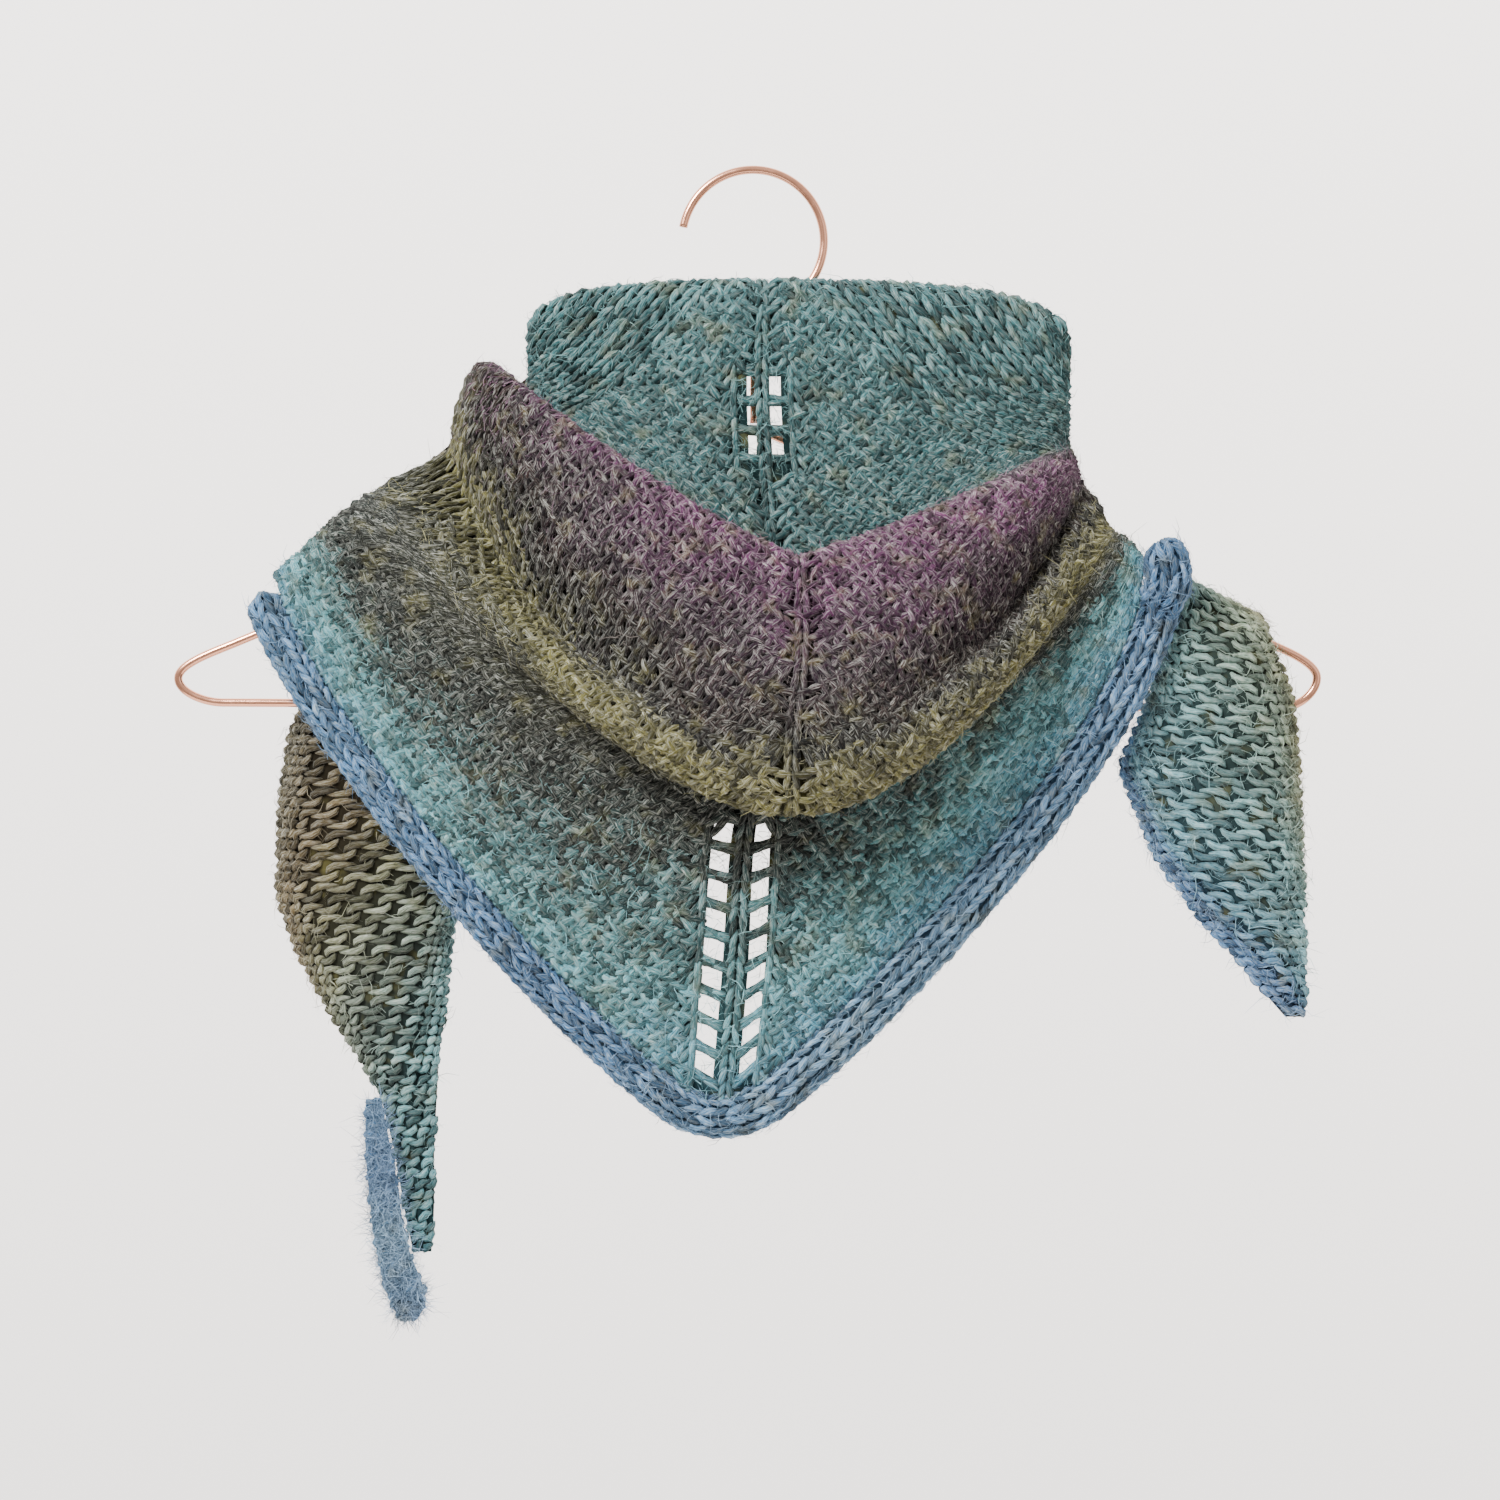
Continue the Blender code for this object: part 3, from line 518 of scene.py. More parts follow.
class Knitting:
    """Collects strands into one piece with its colour attributes."""

    def __init__(self, seed):
        self.random = np.random.default_rng(seed)
        self.points, self.quads, self.caps = [], [], []
        self.rows, self.tints, self.fibres = [], [], []
        self.count = 0

    def add(self, centres, normals, radii, rows):
        """Adds a strand for each line of centres, with its place in the stripes."""
        tints = self.random.random(len(centres))
        wobble = self.random.normal(0, UNEVEN, (len(centres), 1, 3))
        points, (quads, caps) = strands(centres + wobble, normals, radii, STRAND_SIDES)
        self.points.append(points)
        self.quads.append(quads + self.count)
        self.caps.append(caps + self.count)
        each = centres.shape[1] * STRAND_SIDES
        self.rows.append(np.repeat(rows, each))
        self.tints.append(np.repeat(tints, each))
        steps = np.linalg.norm(np.diff(centres, axis=1), axis=-1)
        run = np.concatenate((np.zeros((len(centres), 1)), np.cumsum(steps, axis=1)), axis=1)
        turns = np.arange(STRAND_SIDES) * 2 * math.pi / STRAND_SIDES
        lie = np.broadcast_arrays(np.cos(turns), np.sin(turns),
                                  (run * FIBRE_STRETCH + 40 * tints[:, None])[:, :, None])
        self.fibres.append(np.stack(lie, -1).reshape(-1, 3))
        self.count += len(points)

    def piece(self, name, material):
        """The strands as one piece. Its lie attribute places the fibres round and along them."""
        values = {"row": np.concatenate(self.rows), "tint": np.concatenate(self.tints),
                  "lie": np.concatenate(self.fibres)}
        faces = [np.concatenate(self.quads), np.concatenate(self.caps)]
        return make_piece(name, np.concatenate(self.points), faces, material, values)


def lattice(width, height, reach, depth):
    """Flat places of one half's stitches: rows run parallel to the short edge."""
    rows = np.arange(0, (reach + depth) * DIAGONAL, height)
    wales = np.arange(-depth * DIAGONAL, reach * DIAGONAL, width) + width / 2
    row, wale = np.meshgrid(rows, wales, indexing="ij")
    return ((row + wale) * DIAGONAL).ravel(), ((row - wale) * DIAGONAL).ravel()


def add_node(tree, kind, settings=None, links=None):
    """Adds a node, sets its inputs and properties by name, and links its inputs to outputs."""
    node = tree.nodes.new(kind)
    for name, value in (settings or {}).items():
        if isinstance(name, str) and hasattr(node, name):
            setattr(node, name, value)
        else:
            node.inputs[name].default_value = value
    for name, output in (links or {}).items():
        tree.links.new(output, node.inputs[name])
    return node


def new_material(name):
    """An empty material and its tree."""
    material = bpy.data.materials.new(name)
    material.use_nodes = True
    tree = material.node_tree
    tree.nodes.clear()
    return material, tree


def striped_colour(tree, kind, place, tint):
    """The yarn's long stripes, with the painted shade and shadow that the front's darkest stops hold,
    their borders made uneven by patches and by single strands.
    """
    row = add_node(tree, "ShaderNodeAttribute", {"attribute_name": "row"})
    patches = add_node(tree, "ShaderNodeTexNoise", {"Scale": PATCHES, "Detail": 3.0},
                       {"Vector": place})
    shift = add_node(tree, "ShaderNodeMath", {"operation": "MULTIPLY_ADD", 1: 0.08, 2: -0.04},
                     {0: patches.outputs["Fac"]})
    jitter = add_node(tree, "ShaderNodeMath", {"operation": "MULTIPLY_ADD", 1: 0.02, 2: -0.01},
                      {0: tint})
    moved = add_node(tree, "ShaderNodeMath", {"operation": "ADD"},
                     {0: shift.outputs[0], 1: jitter.outputs[0]})
    striped = add_node(tree, "ShaderNodeMath", {"operation": "ADD"},
                       {0: row.outputs["Fac"], 1: moved.outputs[0]})
    ramp = add_node(tree, "ShaderNodeValToRGB", None, {"Fac": striped.outputs[0]})
    elements = ramp.color_ramp.elements
    elements.remove(elements[1])
    for number, stripe in enumerate(kind.stripes):
        place_in_ramp = stripe.place / kind.span
        element = elements.new(place_in_ramp) if number else elements[0]
        element.position = place_in_ramp
        element.color = tuple(channel * kind.shade for channel in linear(stripe.colour)[:3]) + (1.0,)
    return ramp.outputs["Color"]


def make_wool(name, kind, roughness):
    """Bulky heathered wool: matte and striped in long soft changes of colour, with pale and dark
    fibres along each strand, strands of uneven lightness, golden flecks and a faint pale bloom."""
    material, tree = new_material(name)
    tint = add_node(tree, "ShaderNodeAttribute", {"attribute_name": "tint"}).outputs["Fac"]
    place = add_node(tree, "ShaderNodeTexCoord").outputs["Object"]
    lie = add_node(tree, "ShaderNodeAttribute", {"attribute_name": "lie"})
    fine = add_node(tree, "ShaderNodeVectorMath", {"operation": "SCALE", "Scale": 0.02}, {0: place})
    placed = add_node(tree, "ShaderNodeVectorMath", {"operation": "ADD"},
                      {0: lie.outputs["Vector"], 1: fine.outputs[0]})
    fibres = add_node(tree, "ShaderNodeTexNoise", {"Scale": FIBRES, "Detail": 3.0, "Roughness": 0.7},
                      {"Vector": placed.outputs[0]}).outputs["Fac"]
    flecks = add_node(tree, "ShaderNodeTexNoise", {"Scale": FLECKS, "Detail": 2.0},
                      {"Vector": place}).outputs["Fac"]
    colour = striped_colour(tree, kind, place, tint)
    for source, tinge, low, high, least, most in (
            (flecks, "6F6A3C", 0.55, 0.72, 0.0, 0.35),
            (fibres, "A9ABA4", 0.5, 0.66, kind.least_pale, kind.most_pale),
            (fibres, "141C1E", 0.48, 0.34, 0.0, 0.9)):
        share = add_node(tree, "ShaderNodeMapRange", {1: low, 2: high, 3: least, 4: most}, {0: source})
        mix = add_node(tree, "ShaderNodeMix", {"data_type": "RGBA", 7: linear(tinge)},
                       {0: share.outputs[0], 6: colour})
        colour = mix.outputs[2]
    lightness = add_node(tree, "ShaderNodeMapRange", {1: 0.0, 2: 1.0, 3: 0.4, 4: 1.8}, {0: tint})
    varied = add_node(tree, "ShaderNodeVectorMath", {"operation": "SCALE"},
                      {0: colour, "Scale": lightness.outputs[0]})
    bump = add_node(tree, "ShaderNodeBump", {"Strength": 0.8, "Distance": 0.6 * MM},
                    {"Height": fibres})
    surface = add_node(tree, "ShaderNodeBsdfPrincipled",
                       {"Roughness": roughness, "Sheen Weight": 0.1, "Sheen Roughness": 0.5,
                        "Specular IOR Level": 0.1, "Sheen Tint": linear("DDE3E0")},
                       {"Base Color": varied.outputs[0], "Normal": bump.outputs["Normal"]})
    add_node(tree, "ShaderNodeOutputMaterial", None, {"Surface": surface.outputs[0]})
    return material


def make_copper():
    """Copper plating on steel wire: satin, with a warm pink reflection and faint scuffs."""
    material, tree = new_material("copper_plated_wire")
    place = add_node(tree, "ShaderNodeTexCoord")
    scuffs = add_node(tree, "ShaderNodeTexNoise", {"Scale": SCUFFS, "Detail": 3.0},
                      {"Vector": place.outputs["Object"]})
    rough = add_node(tree, "ShaderNodeMapRange", {1: 0.3, 2: 0.7, 3: 0.16, 4: 0.3},
                     {0: scuffs.outputs["Fac"]})
    surface = add_node(tree, "ShaderNodeBsdfPrincipled",
                       {"Base Color": linear("DDA083"), "Metallic": 1.0},
                       {"Roughness": rough.outputs[0]})
    add_node(tree, "ShaderNodeOutputMaterial", None, {"Surface": surface.outputs[0]})
    return material


def shell_grid(sheet, downs, acrosses, holes, outer, inner, name, material, colour=None):
    """A closed thin shell over a sheet, with the cells in holes cut right through."""
    down, across = np.meshgrid(downs, acrosses, indexing="ij")
    shades = down
    if colour:
        flat_y = np.interp(down, np.linspace(0, 1, len(sheet.depth)), sheet.depth)
        flat_x = (across - 0.5) * np.interp(flat_y, sheet.depth, sheet.width)
        shades = colour(sheet, flat_x, flat_y)
    points, normals = sheet.at(down, across)
    rows, columns = down.shape
    layers = np.concatenate(((points + normals * outer).reshape(-1, 3),
                             (points + normals * inner).reshape(-1, 3)))
    index = np.arange(rows * columns).reshape(rows, columns)
    back = index + rows * columns
    solid = np.ones((rows - 1, columns - 1), bool)
    for row, column in holes:
        solid[row, column] = False
    corners = np.stack((index[:-1, :-1], index[1:, :-1], index[1:, 1:], index[:-1, 1:]), -1)
    front_faces = corners[solid]
    back_faces = (corners + rows * columns)[solid][:, ::-1]
    sides = []
    padded = np.pad(solid, 1)
    for row in range(rows - 1):
        for column in range(columns - 1):
            if not solid[row, column]:
                continue
            ring = [(row, column), (row + 1, column), (row + 1, column + 1), (row, column + 1)]
            beyond = [padded[row + 1, column], padded[row + 2, column + 1],
                      padded[row + 1, column + 2], padded[row, column + 1]]
            for number in range(4):
                if not beyond[number]:
                    a, b = ring[number], ring[(number + 1) % 4]
                    sides.append((index[b], index[a], back[a], back[b]))
    faces = np.concatenate((front_faces, back_faces, np.array(sides)))
    used, compact = np.unique(faces, return_inverse=True)
    values = {"row": np.tile(shades.ravel(), 2)[used], "tint": np.full(len(used), 0.5)}
    return make_piece(name, layers[used], compact.reshape(faces.shape), material, values)


def front_eyelets(front):
    """The flat depths of the open eyelets' upper and lower edges."""
    above = (0, int(FRONT_STEPS * BELOW_COLLAR / LAST))
    below = (int(FRONT_STEPS * BELOW_OLIVE / LAST), FRONT_STEPS + 1)
    return [tuple(front.spine_depth(run.top - EYELET_PITCH * number + edge, *rows)
                  for edge in (EYELET_HEIGHT / 2, -EYELET_HEIGHT / 2))
            for run, rows in zip(EYELETS, (above, below)) for number in range(run.count)]


def front_shell(front, material):
    """The front's felted shell, with its eyelets open."""
    shares = np.linspace(0, 1, FRONT_STEPS + 1)
    spans = [[float(np.interp(depth, front.depth, shares)) for depth in span]
             for span in front_eyelets(front)]
    edges = sorted({edge for span in spans for edge in span})
    plain = [down for down in np.linspace(0, 1, 141)
             if all(abs(down - edge) > 0.0035 for edge in edges)]
    downs = sorted(edges + plain)
    half = float(front.right_end.mean())
    right = [0.5 + offset / half / 2
             for offset in (EYELET_INNER, (EYELET_INNER + EYELET_OUTER) / 2, EYELET_OUTER)]
    right += list(np.linspace(right[-1], 1, 46)[1:])
    acrosses = [1 - across for across in reversed(right)] + [0.5] + right
    middle = acrosses.index(0.5)
    holes = {(row, middle + offset) for upper, lower in spans
             for row in range(downs.index(upper), downs.index(lower)) for offset in (-3, -2, 1, 2)}
    return shell_grid(front, downs, acrosses, holes, 0.6, -1.0, "front_shell", material)


def knit_front(front, wool, width, height):
    """The knit side's stitches, in pieces by stretch, and the spine between the eyelets."""
    whole = front.depth[-1]
    half_x, half_y = lattice(width, height, whole, whole)
    x, y = np.concatenate((-half_x, half_x)), np.concatenate((half_y, half_y))
    wale_x = np.repeat((-DIAGONAL, DIAGONAL), len(half_x))
    wale_y = np.full(len(x), DIAGONAL)
    down, _across, inside = front.locate(x, y)
    spans = front_eyelets(front)
    keep = inside & (np.abs(x) > np.where(beside_eyelets(spans, y), OPEN_SPINE, CLOSED_SPINE)) & (y > 1)
    columns = np.arange(2.0, whole - 3, height)
    pieces = []
    for name, (first, last) in STRETCHES.items():
        own = keep & (down * LAST >= first) & (down * LAST < last)
        knitting = Knitting(seed=len(name))
        for side in (-1, 1):
            centres, normals = stitch_lines(front, x[own], y[own], wale_x[own], wale_y[own],
                                            KNIT_LEG, row_sign=side, off=1.1)
            knitting.add(centres, normals, [bend.radius for bend in KNIT_LEG],
                         front_colour(front, x[own], y[own]))
        low, high = (np.interp(place / LAST * FRONT_STEPS, range(FRONT_STEPS + 1), front.depth)
                     for place in (first, min(last, LAST)))
        knit_columns(knitting, front, spans, columns[(columns >= low) & (columns < high)])
        knit_bars(knitting, front, ladder_bars(spans, low, high))
        pieces.append(knitting.piece(f"{name}_stitches", wool))
    return pieces


def knit_columns(knitting, front, spans, depths):
    """The column of stitches down the spine, and one outside each column of eyelets."""
    for column_x, size in ((0.0, 0.82), (-EYELET_COLUMN, 0.9), (EYELET_COLUMN, 0.9)):
        lean = 0.285 * np.sign(column_x)
        if column_x:
            depths = depths[beside_eyelets(spans, depths)]
        at_x = np.full(len(depths), column_x)
        for side in (-1, 1):
            centres, normals = stitch_lines(
                front, at_x, depths, np.full(len(at_x), lean),
                np.full(len(at_x), math.sqrt(1 - lean ** 2)), KNIT_LEG,
                row_sign=side, off=1.0, size=size)
            knitting.add(centres, normals, [bend.radius * size for bend in KNIT_LEG],
                         front_colour(front, at_x, depths))


def knit_bars(knitting, front, bars):
    """The two twisted strands that cross the spine between one eyelet and the next."""
    for side in (-1, 1):
        for twist in (-0.9, 0.9):
            x = side * np.linspace(2.2, 11.0, 5)[None, :] + 0 * bars[:, None]
            y = (bars[:, None] * (1 - np.abs(x) / front.depth[-1])
                 + twist * np.cos(np.linspace(0, math.pi, 5))[None, :])
            centres, normals = front.flat(x, y)
            knitting.add(centres + normals * 0.7, normals, np.array([1.3, 1.4, 1.35, 1.4, 1.3]),
                         front_colour(front, x[:, 0], bars))


def ladder_bars(spans, low, high):
    """Flat depths of the strands above, between and below the eyelets of a stretch."""
    middles = [(upper + lower) / 2 for upper, lower in spans]
    bars = [middles[0] - EYELET_PITCH / 2, middles[-1] + EYELET_PITCH / 2]
    for first, second in zip(middles, middles[1:]):
        gaps = max(1, round((second - first) / EYELET_PITCH))
        bars += [first + (second - first) * (number + 0.5) / gaps for number in range(gaps)]
    bars = np.array(sorted(bars))
    return bars[(bars >= max(low, 2)) & (bars < high) & beside_eyelets(spans, bars)]


def purl_back(front, wool, width, height):
    """The purl side of the front, seen from behind."""
    whole = front.depth[-1]
    x, y = lattice(width, height, whole, whole)
    knitting = Knitting(seed=77)
    for sign in (-1, 1):
        at_x = x * sign
        down, _across, inside = front.locate(at_x, y)
        own = inside & (np.abs(at_x) > PURL_SPINE) & (y > 1)
        at_x, at_y = at_x[own], y[own]
        wale = np.full(len(at_x), DIAGONAL)
        centres, normals = stitch_lines(front, at_x, at_y, sign * wale, wale, PURL_BUMP[::2],
                                        side=-1, off=0.9)
        knitting.add(centres, normals, [0.7, 1.4, 0.7], front_colour(front, at_x, at_y))
    return knitting.piece("front_purl_side", wool)


def knit_panel(panel, name, wool, width, height, angle, colour, seed):
    """Bumps on a hanging panel's front and on its back, their rows at an angle."""
    reach = panel.width.max() / 2 + 4
    cross, deep = math.cos(angle), math.sin(angle)
    span = panel.depth[-1] + reach
    wales = np.arange(-span, span, width)
    rows = np.arange(-span, span, height / 2)
    row, wale = np.meshgrid(rows, wales, indexing="ij")
    stagger = (np.arange(len(rows)) % 2)[:, None] * width / 2
    wale = wale + stagger
    x = (row * cross - wale * deep).ravel()
    y = (row * deep + wale * cross).ravel()
    flip = np.repeat(np.arange(len(rows)) % 2, len(wales)).astype(bool)
    _down, _across, inside = panel.locate(x, y)
    knitting = Knitting(seed)
    for turned in (False, True):
        own = inside & (flip == turned)
        sign = -1 if turned else 1
        for side in (1, -1):
            centres, normals = stitch_lines(
                panel, x[own], y[own], np.full(own.sum(), cross * sign), np.full(own.sum(), deep * sign),
                PURL_BUMP, side=side, off=0.8, size=0.92)
            knitting.add(centres, normals, [bend.radius * 0.95 for bend in PURL_BUMP],
                         colour(panel, x[own], y[own]))
    return knitting.piece(name, wool)


class Band:
    """The edging's surface: millimetres along its centre line and round it from the front."""

    HALF_WIDTH = (6.2, 7.6)             # left and right of the point
    HALF_DEPTH = (4.6, 5.2)
    LEFT_TURN, RIGHT_TURN = -86, 82     # degrees from the spine to its ends on the seam

    def __init__(self):
        turns = np.radians(np.linspace(self.LEFT_TURN, self.RIGHT_TURN, 337))
        lines = [fold_curve(fold, turns) for fold in FOLD_LINES]
        seam = lines[-1]
        above = smooth_rows(lines, [LAST - 0.02])[0]
        down = unit(seam - above)
        along = unit(np.gradient(seam, axis=0))
        normal = unit(np.cross(down, along))
        outward = unit(np.cross(along, normal))
        outward = outward * np.where(outward[:, 2:] > 0, -1, 1)
        share = np.clip(0.5 + turns / math.radians(24), 0, 1)
        self.wide = self.HALF_WIDTH[0] + (self.HALF_WIDTH[1] - self.HALF_WIDTH[0]) * share
        self.deep = self.HALF_DEPTH[0] + (self.HALF_DEPTH[1] - self.HALF_DEPTH[0]) * share
        path = seam + outward * (self.wide + 0.8)[:, None]
        kernel = np.hanning(31) / np.hanning(31).sum()
        soft = np.stack([np.convolve(np.pad(path[:, axis], 15, "edge"), kernel, "valid")
                         for axis in range(3)], -1)
        near = np.exp(-(turns / math.radians(9)) ** 2)[:, None]
        path = path * (1 - near) + soft * near
        stations = [path[-16], path[-1]] + [np.array(station, float) for station in EDGING_RIGHT_TOP]
        self.path = np.concatenate((path, smooth_rows(stations, np.linspace(1, 4, 41)[1:])))
        self.wide = np.concatenate((self.wide, np.full(40, self.wide[-1])))
        self.deep = np.concatenate((self.deep, np.full(40, self.deep[-1])))
        steps = np.linalg.norm(np.diff(self.path, axis=0), axis=-1)
        self.length = np.concatenate(([0.0], np.cumsum(steps)))
        self.along = unit(np.gradient(self.path, axis=0))
        self.across = unit(np.cross(self.along, np.array((0.0, 1.0, 0.0))))
        self.front = unit(np.cross(self.across, self.along))
        self.front = self.front * np.where(self.front[:, 1:2] > 0, -1, 1)

    def read(self, table, distance):
        """A table's values at distances along."""
        return np.stack([np.interp(distance, self.length, table[:, axis]) for axis in range(3)], -1)

    def sizes(self, distance):
        """Half width and half depth at distances along."""
        return [np.interp(distance, self.length, table) for table in (self.wide, self.deep)]

    def flat(self, angle_mm, distance):
        """Points and normals at distances along and millimetres round from the front."""
        wide, deep = self.sizes(distance)
        end = np.minimum(distance, self.length[-1] - distance)
        closing = np.sqrt(np.clip(1 - (1 - np.clip(end / wide, 0, 1)) ** 2, 0.12, 1))
        angle = angle_mm / ((wide + deep) / 2)
        across, front = self.read(self.across, distance), self.read(self.front, distance)
        out = (across * np.sin(angle)[..., None] * (wide * closing)[..., None]
               + front * np.cos(angle)[..., None] * (deep * closing)[..., None])
        return self.read(self.path, distance) + out * 0.86, unit(out)


def band_shell(band, material):
    """The band's felted core."""
    distances = np.linspace(0, band.length[-1], 190)
    rounds = np.linspace(0, 1, 17)[:-1]
    distance, turn = np.meshgrid(distances, rounds, indexing="ij")
    points, normals = band.flat(turn * math.pi * sum(band.sizes(distance)), distance)
    points = points - normals * 0.6
    index = np.arange(distance.size).reshape(distance.shape)
    turned = np.roll(index, -1, axis=1)
    quads = np.stack((index[:-1], turned[:-1], turned[1:], index[1:]), -1).reshape(-1, 4)
    caps = np.stack((index[0, ::-1], index[-1]))
    values = {"row": distance / band.length[-1], "tint": np.full(distance.size, 0.5)}
    return make_piece("edging_core", points.reshape(-1, 3), [quads, caps], material, values)


def knit_band(band, wool):
    """Chained stitches along the edging, in columns all round it."""
    knitting = Knitting(seed=5)
    columns = 6
    for number in range(columns):
        start = (number % 2) * CHAIN / 2
        distance = np.arange(1.5 + start, band.length[-1] - 6, CHAIN)
        x = (number / columns) * math.pi * sum(band.sizes(distance))
        for side in (-1, 1):
            centres, normals = stitch_lines(band, x, distance, np.zeros(len(x)), np.ones(len(x)),
                                            KNIT_LEG, row_sign=side, off=0.1, size=0.98)
            knitting.add(centres, normals, [bend.radius for bend in KNIT_LEG],
                         distance / band.length[-1])
    return knitting.piece("edging_stitches", wool)


def fuzz_points(sheet, count, random, x_reach, y_reach):
    """Roots of loose fibres strewn over a sheet: points, normals and shares down."""
    x = random.uniform(-x_reach, x_reach, count * 3)
    y = random.uniform(0, y_reach, count * 3)
    down, across, inside = sheet.locate(x, y)
    x, y = x[inside][:count], y[inside][:count]
    points, normals = sheet.flat(x, y)
    return points, normals, down[inside][:count]


def make_fuzz(name, points, normals, rows, material, seed, lift=2.6, length=5.5):
    """Loose fibres: narrow curved strips that lie along the stitches or stand off them."""
    random = np.random.default_rng(seed)
    count = len(points)
    sideways = unit(random.normal(size=(count, 3)))
    sideways = unit(sideways - normals * np.sum(sideways * normals, axis=1, keepdims=True))
    rise = random.uniform(0.05, 1.0, (count, 1)) ** 2
    aim = unit(sideways + normals * rise)
    curl = unit(np.cross(aim, normals)) * random.normal(0, 0.5, (count, 1))
    reach = random.uniform(0.45, 1.3, (count, 1)) * length
    starts = points + normals * lift * random.uniform(0.5, 1.0, (count, 1))
    line = [starts, starts + aim * reach * 0.55 + curl * reach * 0.4,
            starts + aim * reach + curl * reach * 1.4 - normals * reach * 0.2]
    centre = np.stack(line, 1)
    across = unit(np.cross(np.gradient(centre, axis=1), unit(random.normal(size=(count, 1, 3)))))
    half = np.array(FIBRE_TAPER)[None, :, None]
    strip = np.stack((centre - across * half, centre + across * half), 2)
    index = np.arange(count * 6).reshape(count, 3, 2)
    quads = np.stack((index[:, :-1, 0], index[:, :-1, 1], index[:, 1:, 1], index[:, 1:, 0]), -1)
    values = {"row": np.repeat(rows, 6), "tint": np.repeat(random.random(count), 6)}
    return make_piece(name, strip.reshape(-1, 3), quads.reshape(-1, 4), material, values)


def hanger_paths():
    """Centre lines of the hook with its neck, and of each arm with its loop and the bar."""
    bend_radius, centre_x = 26.6, -1.5
    angles = np.radians(np.linspace(169, -33, 90))
    hook = np.stack((centre_x + bend_radius * np.cos(angles), 0 * angles,
                     WIRE_RADIUS - bend_radius + bend_radius * np.sin(angles)), -1)
    leave = np.array((math.sin(angles[-1]), 0, -math.cos(angles[-1]))) * 22
    neck = np.array((-1.0, 0, -66.0))
    parts = np.linspace(0, 1, 24)[1:, None]
    run = hermite(hook[-1], leave, neck, np.array((0, 0, -26.0)), parts)
    hook = np.concatenate((hook, run, [(-1.0, 0, -80.0), (-1.0, 0, -95.5 + WIRE_RADIUS * 1.1 + 0.3)]))
    ends = []
    for side, bend, outer, bar in ((-1, (-196, -176), (-217, -189), (-200, -198.2)),
                                   (1, (192, -176), (210, -189), (196, -200.2))):
        apex = np.array((-1.0 + side * 0.95, 0, -95.5))
        bend, outer, bar = (np.array((x, 0, z), float) for x, z in (bend, outer, bar))
        along = unit(bend - apex)
        down, back = np.array((0, 0, -1.0)), np.array((-side, 0, 0.0))
        parts = np.linspace(0, 1, 20)[1:, None]
        ends.append(np.concatenate((
            apex + (bend - apex) * np.linspace(0, 1, 20)[:, None],
            hermite(bend, along * 26, outer, down * 16, parts),
            hermite(outer, down * 16, bar, back * 22, parts))))
    whole = np.concatenate((ends[0], ends[1][::-1]))
    return hook, whole


class ShawlSettings(bpy.types.PropertyGroup):
    """Gauge and finish of the knitted wool"""
    stitch_width: bpy.props.FloatProperty(
        name="Stitch width", description="Width of one stitch along its row",
        default=0.0067, min=0.004, max=0.012, unit="LENGTH")
    stitch_height: bpy.props.FloatProperty(
        name="Row height", description="Height of one row of stitches",
        default=0.005, min=0.003, max=0.01, unit="LENGTH")
    fibres: bpy.props.IntProperty(
        name="Loose fibres", description="Loose fibres on the front of the shawl",
        default=24000, min=0, max=33000)
    roughness: bpy.props.FloatProperty(
        name="Wool roughness", description="Roughness of the wool's surface",
        default=0.92, min=0.0, max=1.0, subtype="FACTOR")


MADE = {}                   # the front sheet and the wools, made once

LEFT_STRIPES = [Stripe(0, "5C5540"), Stripe(0.28, "7A6A4A"), Stripe(0.42, "7D7C5C"),
                Stripe(0.58, "7F8F80"), Stripe(0.75, "6C9C9E"), Stripe(1.0, "5F9FAA")]
RIGHT_STRIPES = [Stripe(0, "5C86B4"), Stripe(0.1, "6FA6B8"), Stripe(0.35, "86B8BA"),
                 Stripe(0.6, "8FA48E"), Stripe(0.85, "928E62"), Stripe(1.0, "7E7A54")]
BLUE_STRIPES = [Stripe(0, "5F90BC"), Stripe(0.35, "5584B4"), Stripe(0.6, "7AA6C8"),
                Stripe(1.0, "5A88B8")]

# A wool's stripes and their whole length, how dark it is, and how much pale fibre it holds
Wool = namedtuple("Wool", "stripes span shade least_pale most_pale")
WOOLS = {
    "front_wool": Wool(FRONT_STRIPES_AND_SHADOWS, LAST, 0.42, 0.0, 0.6),
    # The felt shells are coloured very dark: painted shade in the gaps between the stitches
    "front_felt": Wool(FRONT_STRIPES_AND_SHADOWS, LAST, 0.07, 0.0, 0.0),
    # Loose fibres are lighter than the wool: partly the yarn's pale hairs, partly painted sheen of the
    # fuzz in the light
    "front_loose_fibres": Wool(FRONT_STRIPES_AND_SHADOWS, LAST, 0.75, 0.15, 0.5),
}
# Each end's felt and the blue core are dark too, as painted shade between their stitches
for part, stripes, wool_shade, felt_shade in (("left_end", LEFT_STRIPES, 0.66, 0.07),
                                              ("right_end", RIGHT_STRIPES, 0.62, 0.07),
                                              ("blue", BLUE_STRIPES, 0.56, 0.3)):
    WOOLS[f"{part}_wool"] = Wool(stripes, 1, wool_shade, 0.0, 0.65)
    WOOLS[f"{part}_felt"] = Wool(stripes, 1, felt_shade, 0.0, 0.0)
    # The loose fibres are lighter: partly the yarn's pale hairs, partly painted sheen of the fuzz in the
    # light
    WOOLS[f"{part}_loose_fibres"] = Wool(stripes, 1, 0.75, 0.15, 0.5)


def wool(name, context):
    """The named wool, made when it's first asked for."""
    if name not in MADE:
        MADE[name] = make_wool(name, WOOLS[name], context.scene.shawl.roughness)
    return MADE[name]


def gauge(context):
    """Width and height of one stitch in millimetres."""
    settings = context.scene.shawl
    return settings.stitch_width / MM, settings.stitch_height / MM


def front_sheet():
    """The front sheet, worked out once."""
    if "front" not in MADE:
        MADE["front"] = Front()
    return MADE["front"]


